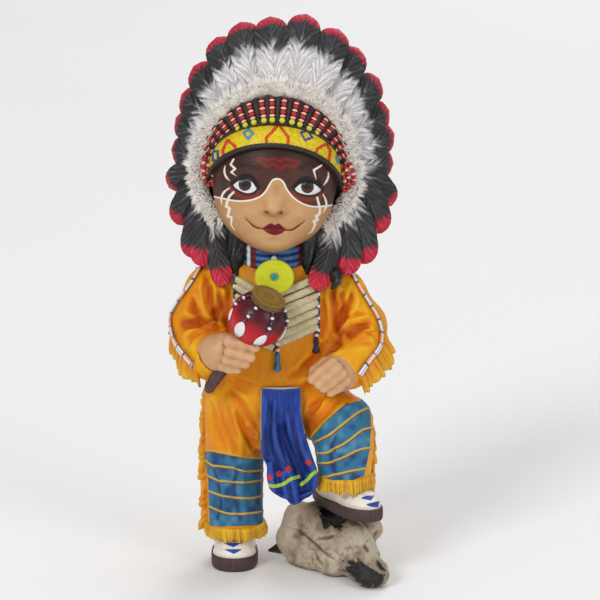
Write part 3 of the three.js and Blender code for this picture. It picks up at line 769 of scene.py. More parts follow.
def makeFace():
    clay = Clay((-25, -28, -3), (25, 6, 51), 0.38)
    clay.add(lump(*face["cranium"]), 1)
    clay.add(lump(*face["jaw"]), 5)
    clay.add(lump((0, -13, 5.6), (8.5, 7.5, 5.4)), 4)
    for at, half in face["eyes"]:
        clay.add(lump(at, half), 1.6)
    clay.add(limb([(0.3, -20.6, 27), (0.2, -22.3, 21), (0.2, -23.3, 18.4)], [1.5, 1.7, 2.0]), 3.2)
    clay.add(lump(*face["noseTip"]), 1.4)
    for side in (-1, 1):
        clay.add(lump((0.3 + side * 3.5, -22.3, 16.8), (1.9, 1.9, 1.6)), 1.0)
        clay.cut(lump((0.3 + side * 2.3, -23.9, 16.0), (0.95, 0.9, 0.7)), 0.5)
    clay.add(lump((0.6, -20.0, 10.9), (4.0, 1.7, 1.15)), 1.2)
    clay.add(lump((0.6, -19.9, 8.9), (3.5, 1.8, 1.3)), 1.2)
    clay.add(lump((0.6, -17.4, 4.4), (6.0, 3.0, 3.2)), 3)
    clay.trim(1, 4.5, keepAbove=False)
    form = clay.skin()
    normals = form.normals()
    scalp = ease(-9, -6, form.points[:, 1]) * ease(30, 34, form.points[:, 2])
    form.points = headToDrawing(form.points)
    spots = seen(form.points)
    paint = facePaint
    # lids and lips are pressed in under the brush lines
    push = np.zeros(len(spots))
    for eye in paint["eyes"]:
        upper, lower = eyeOutline(eye)
        push -= 0.45 * np.exp(-(np.maximum(strokeGap(spots, upper - (0, 1.2), [0.1]), 0) / 0.45) ** 2)
        push -= 0.25 * np.exp(-(np.maximum(strokeGap(spots, lower + (0, 1.0), [0.1]), 0) / 0.4) ** 2)
    push -= 0.45 * np.exp(-(np.maximum(strokeGap(spots, smoothLine(paint["smile"], 40), [0.05, 0.2, 0.05]),
                                       0) / 0.4) ** 2)
    for line in paint["browLines"]:
        push += 0.3 * np.exp(-(np.maximum(strokeGap(spots, smoothLine(line, 12), [0.1]), 0) / 0.9) ** 2)
    form.points += normals * push[:, None]
    form.soften(1, 0.3)
    spots = seen(form.points)
    # the ground colours, with painted shade round the rim of the face, on the bridge of the nose, beside and
    # under the nose, in the nostrils, beside the mouth and under the lip, and painted highlights on the nose,
    # the cheeks and the chin
    skin = np.tile(face["skin"], (len(spots), 1))
    centre = np.array([274.0, 207.0])
    rim = np.linalg.norm((spots - centre) / (62, 50), axis=1)
    skin = mix(skin, face["skinShade"], 0.75 * ease(0.62, 1.05, rim))
    skin = mix(skin, face["light"], 0.45 * np.exp(-(np.linalg.norm(spots - (273, 205), axis=1) / 9) ** 2))
    for side in (252, 297):
        skin = mix(skin, face["light"],
                   0.3 * np.exp(-(np.linalg.norm((spots - (side, 216)) / (12, 9), axis=1)) ** 2))
    skin = mix(skin, face["light"],
               0.35 * np.exp(-(np.linalg.norm((spots - (274, 243)) / (9, 5), axis=1)) ** 2))
    for x, y in paint["nostrils"]:
        spot = np.linalg.norm((spots - (x, y)) / (3.2, 2.6), axis=1)
        skin = mix(skin, rgb(150, 92, 48), 0.85 * np.exp(-spot ** 2))
    skin = mix(skin, face["skinShade"],
               0.5 * np.exp(-(np.linalg.norm((spots - (274, 216.5)) / (9, 2.4), axis=1)) ** 2))
    skin = mix(skin, face["skinShade"],
               0.4 * np.exp(-(np.linalg.norm((spots - (274.5, 239)) / (9, 2.2), axis=1)) ** 2))
    for x, y, wide, high, share in ((264.5, 205, 4.0, 7, 0.25), (285.5, 205, 4.0, 7, 0.25),
                                    (252, 219, 9, 4, 0.25), (298, 220, 9, 4, 0.25),
                                   (275.6, 189, 3.4, 6, 0.35), (274, 221, 5, 2.4, 0.3)):
        near = dab(spots, x, y, wide, high)
        skin = mix(skin, face["skinShade"], share * near)
    edge = smoothLine(paint["maskEdge"], 90)
    maskArea = np.vstack([edge, [(360, 120), (200, 120)]])
    mask = np.tile(face["mask"], (len(spots), 1))
    mask = mix(mask, face["maskDark"], ease(176, 148, spots[:, 1]) * 0.75)
    mask = mix(mask, face["maskDark"], 0.5 * ease(0.2, 0.8, grain(form.points, 5.0, 3)))
    for eye in paint["eyes"]:
        upper, lower = eyeOutline(eye)
        under = strokeGap(spots, lower + (0, 4.0), [0.5])
        mask = mix(mask, face["maskRed"], 0.85 * np.exp(-(np.maximum(under, 0) / 0.6) ** 2))
        around = regionGap(spots, np.vstack([upper - (0, 2.2), lower[::-1] + (0, 1.2)]))
        mask = mix(mask, face["black"], 0.6 * ease(1.2, 0.1, around))
        wing = strokeGap(spots, upper - (0, 1.4), [0.4, 0.8, 0.6])
        mask = mix(mask, face["black"], ease(0.5, 0.0, wing))
    for line in paint["browLines"]:
        mask = mix(mask, face["black"],
                   0.7 * ease(0.6, 0.0, strokeGap(spots, smoothLine(line, 14), [0.15, 0.3, 0.1])))
    between = strokeGap(spots, [(259, 160.5), (279, 163.5), (298, 162)], [0.6, 1.2, 0.5])
    mask = mix(mask, rgb(96, 26, 24), 0.8 * ease(1.0, -0.4, between))
    form.values["paint"] = mix(skin, hair["black"], scalp)
    values = form.values
    values["maskGap"] = regionGap(spots, maskArea)
    values["maskPaint"] = mix(mask, hair["black"], scalp)
    white = strokeGap(spots, edge, [0.3])
    for line, half in paint["whiteLines"]:
        white = np.minimum(white,
                           strokeGap(spots, smoothLine(line, 24), [half * 0.5, half, half, half * 0.25]))
    for line, half in paint["whiteZigzags"]:
        white = np.minimum(white, strokeGap(spots, line, [half * 0.8, half, half, half * 0.3]))
    values["whiteGap"] = white
    red = np.full(len(spots), far)
    for line, half in paint["redZigzags"]:
        red = np.minimum(red, strokeGap(spots, smoothLine(line, 40), [half * 0.5, half, half, half * 0.4]))
    values["redGap"] = red
    ball = np.full(len(spots), far)
    iris = np.full(len(spots), far)
    pupil = np.full(len(spots), far)
    shine = np.full(len(spots), far)
    lid = np.full(len(spots), far)
    for eye in paint["eyes"]:
        upper, lower = eyeOutline(eye, 25)
        ball = np.minimum(ball, regionGap(spots, np.vstack([upper, lower[::-1]])))
        away = np.linalg.norm(spots - eye[2], axis=1) * pixel
        iris = np.minimum(iris, away - paint["irisRadius"])
        pupil = np.minimum(pupil, np.linalg.norm(spots - eye[2] - (0.1, -1.4), axis=1) * pixel - 1.45)
        shine = np.minimum(shine, np.linalg.norm(spots - eye[2] + (3.6, 3.2), axis=1) * pixel - 0.45)
        lid = np.minimum(lid, strokeGap(spots, upper - (0, 0.4), [0.25, 0.62, 0.62, 0.35]))
        lid = np.minimum(lid, strokeGap(spots, lower + (0, 0.5), [0.2, 0.26, 0.26, 0.3]))
    values["ballGap"] = ball
    values["irisGap"] = np.maximum(iris, ball)
    values["pupilGap"] = np.maximum(pupil, ball)
    values["shineGap"] = np.maximum(shine, ball)
    values["lidGap"] = lid
    values["lipGap"] = regionGap(spots,
                                 np.vstack([smoothLine(paint["lipTop"], 24),
                                            smoothLine(paint["lipBottom"], 24)[1:-1]]))
    smile = smoothLine(paint["smile"], 60)
    values["smileGap"] = strokeGap(spots, smile, [0.16, 0.34, 0.26, 0.2, 0.26, 0.34, 0.14])
    piece = makePiece("face", form, faceFinish())
    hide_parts("figurine")
    return piece


def faceFinish():
    f = Finish("facePaint")
    wobble = (f.noise(1.2, 2.0, 0.5) - 0.5) * 0.16

    def layer(below, gap, tint, edge=0.09):
        share = (0.5 - (f.attribute(gap) + wobble) * (1 / edge)).clamped()
        return f.blend(share, below, tint)

    patches = f.blend(f.noise(3.0, 4.0, 0.6), (0.84, 0.82, 0.8), (1.1, 1.1, 1.1))
    brushed = f.add("ShaderNodeMapping", None, {"Vector": f.place(), "Scale": (0.35, 0.35, 2.2)})
    streak = f.blend(f.noise(0.8, 4.0, 0.65, brushed), (0.72, 0.7, 0.7), (1.3, 1.26, 1.24))
    colour = f.blend(1.0, f.attribute("paint", "Color"), patches, "MULTIPLY")
    mask = f.blend(1.0, f.attribute("maskPaint", "Color"), streak, "MULTIPLY")
    colour = layer(colour, "maskGap", mask, 0.14)
    colour = layer(colour, "redGap", tuple(face["red"]), 0.35)
    colour = layer(colour, "ballGap", tuple(face["eyeWhite"]))
    colour = layer(colour, "irisGap", tuple(face["iris"]))
    colour = layer(colour, "pupilGap", tuple(face["black"]), 0.4)
    colour = layer(colour, "shineGap", (0.11, 0.11, 0.1), 0.7)
    colour = layer(colour, "lidGap", tuple(face["black"]))
    colour = layer(colour, "lipGap", tuple(face["lip"]), 0.16)
    colour = layer(colour, "smileGap", tuple(face["lipDark"]), 0.16)
    colour = layer(colour, "whiteGap", tuple(face["white"]))
    f.paint("Base Color", colour)
    eye = (0.5 - f.attribute("ballGap") * 8).clamped()
    f.paint("Roughness", (f.noise(1.5, 3.0, 0.6) * 0.12 + 0.42) - eye * 0.1)
    f.paint("Specular IOR Level", 0.28)
    f.paint("Coat Weight", eye * 0.12)
    f.paint("Coat Roughness", 0.25)
    bump = f.add("ShaderNodeBump", None, {
        "Height": f.noise(0.5, 3.0, 0.6), "Strength": 0.05, "Distance": 0.3 * drawing["millimetre"],
    })
    f.paint("Normal", bump)
    return f.material


# Brow band: beads in rows on a slab cut from a slightly larger head

band = {
    "centre": (0, -3.5, 24.4), "half": (23.6, 21.8, 25.9), "tilt": 45.0, "low": -2.2, "high": 6.6,
    "turn": 89.0,
    "beadLong": 0.74, "beadWide": 0.63, "beadProud": 0.2,
    "yellow": rgb(236, 208, 24), "amber": rgb(214, 160, 20), "olive": rgb(170, 168, 30),
    "orange": rgb(205, 62, 24), "blue": rgb(40, 70, 140), "teal": rgb(74, 140, 165), "rim": rgb(46, 38, 36),
    "arches": [[(266.5, 147), (266.5, 138), (279, 124.6), (288.2, 138.2), (287.8, 147)],
               [(223.8, 157.5), (223.2, 150.5), (228, 140.4), (234.8, 146), (236.4, 151.5)],
               [(315.6, 152.5), (317.5, 148.6), (326.4, 144), (329.6, 151), (328.2, 162)]],
    "tealMarks": [[(243.8, 133.6), (248.6, 129.2), (253.2, 133.8), (248.4, 139.0), (243.8, 133.6)],
                  [(335.4, 157.2), (339.2, 156.2), (341.0, 161.6), (337.6, 163.2), (335.4, 157.2)]],
    "blueMarks": [[(300.6, 132.8), (308.2, 130.6), (312.0, 137.8), (304.6, 140.4), (300.6, 132.8)],
                  [(213.4, 151.6), (218.4, 151.4), (218.2, 160.2), (213.4, 160.8), (213.4, 151.6)]],
}


def bandPoint(angle, h, proud=0.0):
    # a point of the band's slab, at an angle round it and a height across it
    lean = math.radians(band["tilt"])
    normal = np.array([0, math.sin(lean), math.cos(lean)])
    front = np.array([0, -math.cos(lean), math.sin(lean)])
    half = np.asarray(band["half"]) + proud
    base = normal * h[..., None] / half
    way = (np.sin(angle)[..., None] * np.array([1.0, 0, 0]) + np.cos(angle)[..., None] * front)
    way = way / half
    a = np.sum(way * way, -1)
    b = 2 * np.sum(way * base, -1)
    c = np.sum(base * base, -1) - 1
    reach = (-b + np.sqrt(np.maximum(b * b - 4 * a * c, 0))) / (2 * a)
    return (base + way * reach[..., None]) * half + np.asarray(band["centre"])


def makeBand():
    rows, columns = int(40 / carver["fine"]), int(380 / carver["fine"])
    angle = np.radians(np.linspace(-band["turn"], band["turn"], columns))
    h = np.linspace(band["low"], band["high"], rows)
    a, hh = np.meshgrid(angle, h, indexing="ij")
    run = a * 24.0
    u = run / band["beadLong"]
    v = (hh - band["low"]) / band["beadWide"]
    u = u + 0.5 * (np.floor(v) % 2)
    fu, fv = u - np.floor(u) - 0.5, v - np.floor(v) - 0.5
    dome = np.sqrt(np.clip(1 - (fu / 0.56) ** 2 - (fv / 0.56) ** 2, 0, 1))
    outer = bandPoint(a, hh)
    normal = unit((outer - np.asarray(band["centre"])) / np.asarray(band["half"]) ** 2)
    swell = 0.35 * np.sin(math.pi * np.clip((hh - band["low"]) / (band["high"] - band["low"]), 0, 1))
    grid = outer + normal * (dome * band["beadProud"] + swell)[..., None]
    form = sheetForm(grid)
    pick = scatter(np.stack([np.floor(u), np.floor(v), 0 * u], axis=-1).astype(np.int64), 5).ravel()
    back = sheetForm(grid - normal * 2.0)
    back.points = back.points
    form.points = headToDrawing(form.points)
    spots = seen(form.points)
    # each bead has one colour, taken at its own middle
    beadAngle = ((np.floor(u) + 0.5 - 0.5 * (np.floor(v) % 2)) * band["beadLong"] / 24.0)
    beadHeight = band["low"] + (np.floor(v) + 0.5) * band["beadWide"]
    middle = seen(headToDrawing(bandPoint(beadAngle, beadHeight).reshape(-1, 3)))
    paint = np.tile(band["yellow"], (len(spots), 1))
    paint = mix(paint, band["amber"], 0.5 * (pick > 0.75))
    paint = mix(paint, band["olive"], 0.4 * (pick < 0.2))
    # each bead is painted darker down its sides and in the gaps between beads, a painted shade
    paint = mix(paint, band["olive"] * 0.5, 0.55 * ease(0.55, 0.1, dome.ravel()))
    front = (a.ravel() > -1.9) & (a.ravel() < 1.9)
    marks = [(band["arches"], band["orange"], 0.5), (band["tealMarks"], band["teal"], 0.44),
             (band["blueMarks"], band["blue"], 0.4)]
    for lines, tint, half in marks:
        for line in lines:
            gap = strokeGap(0.45 * spots + 0.55 * middle, line, [half])
            paint = mix(paint, tint * (0.8 + 0.35 * pick[:, None]), ease(0.16, -0.06, gap) * front)
    form.values["paint"] = paint
    edges = []
    for h, proud in ((band["low"], 0.25), (band["high"], 0.25)):
        line = bandPoint(angle[::2], np.full(len(angle[::2]), h), proud)
        edge = rod(headToDrawing(line), [0.85], 8, relief=lambda turn,
                   along: 0.05 * np.sin(260 * along + turn))
        edges.append(painted(edge, band["rim"]))
    walls = []
    for h0, h1 in ((band["low"], band["low"]), (band["high"], band["high"])):
        inner = bandPoint(angle, np.full(len(angle), h0), -2.2)
        outer = bandPoint(angle, np.full(len(angle), h1), 0.2)
        walls.append(painted(sheetForm(headToDrawing(np.stack([inner, outer], axis=1))), band["rim"]))
    makePiece("browBand", join([form]),
              resinFinish("bandPaint", {"rough": 0.34, "mottle": 0.05, "grain": 0.06}))
    makePiece("browBandRims", join(edges + walls), resinFinish("rimPaint", {"rough": 0.5, "mottle": 0.15}))


# Leather crown, bead drops and the strings of beads at the temples

crown = {
    "inner": 23.4, "outer": 33.4, "outerSide": 5.2, "turn": 100.0,
    "dropStep": 7.5, "dropLast": 84.0, "dropFrom": 24.9, "dropTo": 33.0,
    "leather": rgb(66, 46, 44), "leatherDark": rgb(30, 22, 22),
    "red": rgb(164, 24, 32), "pink": rgb(238, 196, 174), "lime": rgb(196, 196, 50),
    "redDark": rgb(120, 16, 26),
    # strings of beads over the ends of the band, as pixels and a depth
    "temples": [[(209.5, 160), (208, 168), (208.6, 177), (209.6, 188)],
                [(204.8, 158), (203.6, 166), (204.4, 175), (206, 184)],
                [(213.2, 164), (212.2, 172), (212.6, 180), (213.4, 187)],
                [(345, 166), (347.6, 173), (349, 181), (348.6, 190)],
                [(349.6, 163), (352.4, 170), (353.6, 178), (353, 186)],
                [(341.6, 170), (343.8, 177), (344.8, 185), (344.2, 193)]],
    "templeDepth": -6.5,
}


def crownPoint(angle, share, lift=0.0):
    # share runs from the brow band, 0, to the down, 1
    side = np.sin(angle) ** 2
    reach = crown["inner"] + (crown["outer"] - crown["outerSide"] * side - crown["inner"]) * share
    depth = (-16.4 + 16.6 * side) * (1 - share) + (-12.4 + 12.4 * side) * share - lift
    return ringPoint(angle, reach, depth)


def makeCrown():
    c = crown
    rows, columns = 36, 300
    angle = np.radians(np.linspace(-crown["turn"], crown["turn"], columns))
    share = np.linspace(-0.05, 1.04, rows)
    a, s = np.meshgrid(angle, share, indexing="ij")
    pleat = 0.35 * np.cos(2 * math.pi * np.degrees(a) / crown["dropStep"]) * ease(0, 0.2, s)
    roll = 1.2 * np.sin(math.pi * np.clip(s, 0, 1)) ** 0.6
    grid = crownPoint(a, s) + np.array([0, -1.0, 0]) * (roll + pleat)[..., None]
    form = sheetForm(grid)
    form.points = headToDrawing(form.points)
    wear = grain(form.points, 1.3, 9)
    # the leather is darker in random patches and in the hollows of its pleats, the latter a painted shade
    form.values["paint"] = mix(np.tile(crown["leather"], (len(form.points), 1)), crown["leatherDark"],
                               np.clip(0.35 - 0.5 * wear - pleat.ravel() * 0.8, 0, 1))
    makePiece("crownLeather", form, resinFinish("crownPaint", {"rough": 0.6, "grain": 0.3, "mottle": 0.2}))
    beads = []
    steps = int(crown["dropLast"] / crown["dropStep"])
    for k in range(-steps - 1, steps + 1):
        degrees = (k + 0.5) * crown["dropStep"] + 0.5 * math.sin(k * 2.3)
        beads += dropForms(math.radians(degrees))
    for line in c["temples"]:
        curve = smoothLine(line, 60)
        path = atDepth(curve, np.full(60, c["templeDepth"]) + 1.2 * np.cos(np.linspace(0, 9, 60)))
        for k in range(7):
            at, step = path[4 + 8 * k], path[5 + 8 * k] - path[4 + 8 * k]
            tint, size = ((c["red"], 1.0), (c["pink"], 0.78))[k % 2]
            beads.append(painted(bead(at, (size, size, size * 0.95), step, 9, 7), tint))
    makePiece("beadDrops", join(beads),
              resinFinish("beadPaint", {"rough": 0.3, "mottle": 0.08, "coat": 0.3}))


def dropForms(angle):
    # one string of tube beads on the leather, from the lime end by the band to the red end at the down
    c = crown
    pattern = [(c["lime"], 1.9, 1.1), (c["pink"], 0.9, 1.04), (c["red"], 1.6, 1.16), (c["pink"], 0.9, 1.04),
               (c["red"], 1.6, 1.14), (c["pink"], 0.8, 1.0), (c["redDark"], 0.8, 1.0)]
    run = sum(length for _, length, _ in pattern)
    out = []
    at = 0.0
    side = math.sin(angle) ** 2
    for tint, length, radius in pattern:
        s0, s1 = 0.1 + 0.88 * at / run, 0.1 + 0.88 * (at + length) / run
        at += length
        ends = [crownPoint(np.array(angle), s, 1.9 - 0.3 * side) for s in (s0, s1)]
        middle, way = (ends[0] + ends[1]) / 2, ends[1] - ends[0]
        half = np.linalg.norm(way) * 0.54
        form = bead(headToDrawing(middle), (radius, radius, half), way, 9, 7)
        # each tube bead is painted darker towards its ends, where it meets the next, a painted shade, and
        # lighter round its middle, a painted highlight
        core = np.linalg.norm(np.cross(form.points - headToDrawing(middle), unit(way)), axis=1) / radius
        form.values["paint"] = mix(np.tile(tint * 0.75, (len(core), 1)), np.minimum(tint * 1.15, 1),
                                   ease(0.5, 1.0, core))
        out.append(form)
    return out


# Down: curled tufts at the foot of the feathers

down = {
    "turn": 127.0, "curls": 1300, "tufts": 250, "hairs": 8,
    "white": rgb(246, 244, 241), "cream": rgb(230, 222, 210), "grey": rgb(164, 156, 150),
}


def downBase(angle):
    # reach and depth of the ring's middle
    side = np.sin(np.clip(angle, -math.pi / 2, math.pi / 2)) ** 2
    low = np.clip((np.abs(angle) - math.pi / 2) / math.radians(40), 0, 1)
    return 35.0 - 7.4 * side - 4.9 * low ** 0.8, -10.4 + 10.6 * side - 2.6 * low


def lock(start, way, side, length, thick, curl, bend, steps=6, sides=5):
    # one flat lock of down: it leaves along a line, then curls over to one side
    t = np.linspace(0, 1, steps)[:, None]
    path = start + way * length * t + side * curl * length * t ** 2 + bend * length * t ** 1.6
    radii = thick * (np.sin(math.pi * np.clip(t[:, 0] * 0.8 + 0.2, 0, 1)) ** 0.7 * (1 - 0.75 * t[:, 0] ** 2)
                     + 0.05)
    return rod(path, radii, sides, 0.7)


def makeDown():
    forms = []
    angle = np.radians(np.linspace(-down["turn"], down["turn"], 190))
    reach, depth = downBase(angle)
    ring = rod(headToDrawing(ringPoint(angle, reach, depth)), [1.2, 2.5, 2.6, 2.7, 3.0, 2.7, 2.6, 2.5, 1.2],
               18,
               relief=lambda turn, along: 0.3 * np.sin(190 * along + 2 * turn) + 0.25
               * np.sin(83 * along - 3 * turn))
    # the ring is greyer in random patches, a painted shade for the hollows among the curls
    hollow = grain(ring.points, 1.1, 4)
    ring.values["paint"] = mix(down["cream"], down["grey"], np.clip(0.45 - hollow * 0.6, 0, 1))
    forms.append(ring)

    def add(form, tint, tone):
        form.points = headToDrawing(form.points)
        form.values["paint"] = np.tile(np.minimum(tint * tone, 1), (len(form.points), 1))
        forms.append(form)

    for k in range(down["curls"]):
        # small low curls on the front of the ring
        a = math.radians(-down["turn"] + 2 * down["turn"] * (k + chance.uniform(0.1, 0.9)) / down["curls"])
        reach, depth = downBase(a)
        out = np.array([math.sin(a), -0.1, math.cos(a)])
        side = np.array([math.cos(a), 0.0, -math.sin(a)])
        around = chance.uniform(-1.5, 1.2)
        start = ringPoint(np.array(a), reach + 2.7 * math.sin(around), depth - 2.7 * math.cos(around))
        swirl = chance.uniform(-1.2, 1.2)
        way = unit(out * math.cos(swirl) + side * math.sin(swirl) + np.array([0, 0.5 * around, 0]))
        form = lock(start, way, side, chance.uniform(1.5, 2.8), chance.uniform(0.2, 0.32),
                    chance.uniform(-0.9, 0.9),
                    np.array([0, 0.1, 0]), 5, 4)
        add(form, mix(down["white"], down["cream"], chance.uniform(0.1, 0.9)), chance.uniform(0.86, 1.06))
    for k in range(down["tufts"]):
        # tufts of fine hairs that start on the ring and draw together over the feet of the feathers
        a = math.radians(-down["turn"] + 2 * down["turn"] * (k + chance.uniform(0.0, 1.0)) / down["tufts"])
        reach, depth = downBase(a)
        lower = float(ease(math.radians(62), math.radians(120), abs(a)))
        level = chance.uniform(0.0, 1.0)
        lean = chance.normal(0, 0.2)
        out = np.array([math.sin(a) * (1 - 0.45 * lower), 0, math.cos(a) - 0.75 * lower])
        side = np.array([math.cos(a), 0.0, -math.sin(a)])
        out = unit(out + side * lean)
        long = (3.6 + 1.6 * math.cos(a) ** 2) * chance.uniform(0.75, 1.2)
        start = ringPoint(np.array(a), reach - 0.6 + 3.6 * level, depth - 2.7 + 1.9 * level - 0.2)
        fall = np.array([0, 0.75 - 0.35 * lower, 0])
        tone = chance.uniform(0.94, 1.05)
        for h in range(down["hairs"]):
            v = (h + 0.5) / down["hairs"] * 2 - 1 + chance.uniform(-0.12, 0.12)
            foot = start + side * (1.25 * v) + np.array([0, 0.35 * v * v + chance.uniform(-0.15, 0.15), 0])
            way = unit(out + fall - side * 0.16 * v)
            form = lock(foot, way, side, long * chance.uniform(0.75, 1.15), chance.uniform(0.2, 0.27),
                        -0.12 * v + chance.uniform(-0.14, 0.14), np.array([0, 0.06, 0]), 6, 4)
            add(form, mix(down["white"], down["cream"], chance.uniform(0.0, 0.5)),
                tone * chance.uniform(0.92, 1.04))
    makePiece("bonnetDown", join(forms),
              resinFinish("downPaint", {"rough": 0.62, "grain": 0.2, "mottle": 0.2}))


# Feathers

plume = {
    # the upper feathers: the angle of each from upright and its reach from the middle of the fan
    "fan": [(-90, 38.8), (-74.5, 39.4), (-59.4, 41.4), (-45.2, 44.6), (-31.2, 48.6), (-18.6, 50.6),
            (-5.4, 51.0),
            (7.2, 52.6), (21.2, 51.0), (34, 48.4), (48.7, 45.6), (63.4, 42.8), (77.5, 42.2), (92, 41.4)],
    # the hanging ones: the pixels of foot, middle and tip, the depths of foot and tip,
    # half the width and the red part
    "hanging": [
        ([(205, 168), (188, 173), (169.5, 187)], 4.0, 10.9, 5.4, 2.4),
        ([(207, 180), (192, 195), (176.8, 224)], 3.6, 5.0, 5.4, 3.2),
        ([(208, 192), (199, 220), (190.5, 257.6)], 3.2, -1.0, 5.0, 3.2),
        ([(210, 201), (206, 230), (200.5, 266.2)], 2.6, -6.6, 4.8, 5.2),
        ([(212, 210), (216, 245), (224.0, 286.2)], 1.8, -12.6, 4.0, 6.0),
        ([(352, 170), (372, 180), (391.5, 205)], 4.0, 10.9, 5.4, 3.0),
        ([(350, 182), (369, 200), (381.6, 233)], 3.6, 4.7, 5.6, 4.6),
        ([(346, 194), (360, 224), (366.4, 264)], 3.2, -1.8, 5.2, 4.8),
        ([(340, 205), (347, 237), (348.4, 275)], 2.6, -7.0, 5.0, 5.0),
        ([(335, 214), (329, 250), (315.4, 290.6)], 1.8, -16.6, 4.2, 6.4)],
    "height": 30.2, "middle": 1.2, "root": 24.0, "slant": 2.2, "clump": 3.4, "cell": 1.3,
    "red": rgb(216, 18, 56), "redLight": rgb(240, 74, 106), "redDark": rgb(144, 10, 36),
    "black": rgb(44, 42, 45), "blackLight": rgb(82, 80, 86), "blackDark": rgb(18, 17, 20),
    "white": rgb(236, 234, 232), "whiteDark": rgb(168, 166, 168), "shaft": rgb(104, 102, 108),
    "shaftPale": rgb(186, 182, 178),
}


def featherBlade(spine, half, seed):
    # a carved feather on a line from root to tip: the blade with its barb grooves, and the places of its points
    fine, slant = carver["fine"], plume["slant"]
    run = lengths(spine)
    fromTip = run[-1] - run
    along = unit(np.gradient(spine, axis=0))
    across = unit(np.cross(along, np.array([0, 1.0, 0])))
    front = np.cross(across, along)
    if front[len(front) // 2, 1] > 0:
        across, front = -across, -front
    rounding = np.clip(1 - np.clip(1 - fromTip / (half * 1.35), 0, 1) ** 2.2, 0, 1) ** 0.5
    wide = half * rounding * (0.62 + 0.38 * ease(0, 0.45 * run[-1], run))
    faces = int(31 / fine)
    s = np.concatenate([np.linspace(-1, 1, faces), np.linspace(1, -1, 5)[1:-1]])
    share, widths = np.meshgrid(s, wide, indexing="xy")
    isFront = np.broadcast_to(np.concatenate([np.ones(faces), np.zeros(3)]), share.shape)
    away = np.broadcast_to(run[:, None], share.shape)
    tipAway = np.broadcast_to(fromTip[:, None], share.shape)
    off = np.abs(share) * widths
    warp = grain(np.stack([away * 0.35, off * 0.7, 0 * away + seed * 9.0 + np.sign(share) * 3], axis=-1),
                 1.0, 2)
    barb = away - slant * off + 0.08 * off ** 2 + 0.7 * warp
    clump = barb / plume["clump"] + seed * 7.3
    cell = np.floor(clump)
    pick = scatter(np.stack([cell, np.sign(share) + 2, 0 * share + seed], axis=-1).astype(np.int64), 3)
    wave = np.abs((clump - cell) * 2 - 1)
    strand = np.floor(barb / plume["cell"] + seed * 3.1)
    ragged = scatter(np.stack([strand, np.sign(share) + 2, 0 * share + seed], axis=-1).astype(np.int64),
                     6) - 0.5
    edge = 1 - 0.022 * wave ** 3 * ease(0.5, 1, np.abs(share))
    camber = 1.7 * (1 - np.abs(share) ** 1.8)
    rachis = 0.28 * np.exp(-(off / 0.3) ** 2) * ease(0.6, 4.0, tipAway)
    groove = -(0.14 + 0.16 * pick) * wave ** 2 * ease(0.1, 0.9, off)
    lift = np.where(isFront > 0, camber * 0.8 + 0.45 + rachis + groove, -camber * 0.1 - 0.45 + groove * 0.6)
    lift = lift * (0.35 + 0.65 * ease(0, 3.0, tipAway))
    grid = spine[:, None] + across[:, None] * (share * widths * edge)[..., None] + front[:, None] * lift[...,
            None]
    form = outward(sheetForm(grid, closedAcross=True, caps=True))
    for name, value in (("barb", barb + seed * 11), ("off", off + 3 * np.sign(share) * (off > 0.05))):
        flat = value.ravel()
        form.values[name] = np.concatenate([flat, flat[:1], flat[-1:]])
    return form, {"front": isFront, "tipAway": tipAway, "off": off, "warp": warp, "pick": pick,
                  "ragged": ragged,
                  "crest": ease(1.0, 0.3, wave)}


def bladePaint(form, colour):
    flat = colour.reshape(-1, 3)
    form.values["paint"] = np.vstack([flat, flat[:1], flat[-1:]])
    return form


def fanSpine(number, t):
    degrees, reach = plume["fan"][number]
    angle = math.radians(degrees)
    flank = math.sin(angle) ** 2
    rootDepth, tipDepth = -9 + 13 * flank, 8 + 8 * flank
    stagger = 0.6 if number % 2 else -0.6
    spine = ringPoint(np.full(len(t), angle), plume["root"] + (reach - plume["root"]) * t,
                      rootDepth + (tipDepth - rootDepth) * t ** 1.9 + stagger, plume["height"])
    spine[:, 0] += plume["middle"]
    sideways = np.array([math.cos(angle), 0, -math.sin(angle)])
    return headToDrawing(spine + sideways * (1.0 * math.sin(number * 1.9) * t ** 2)[:, None])


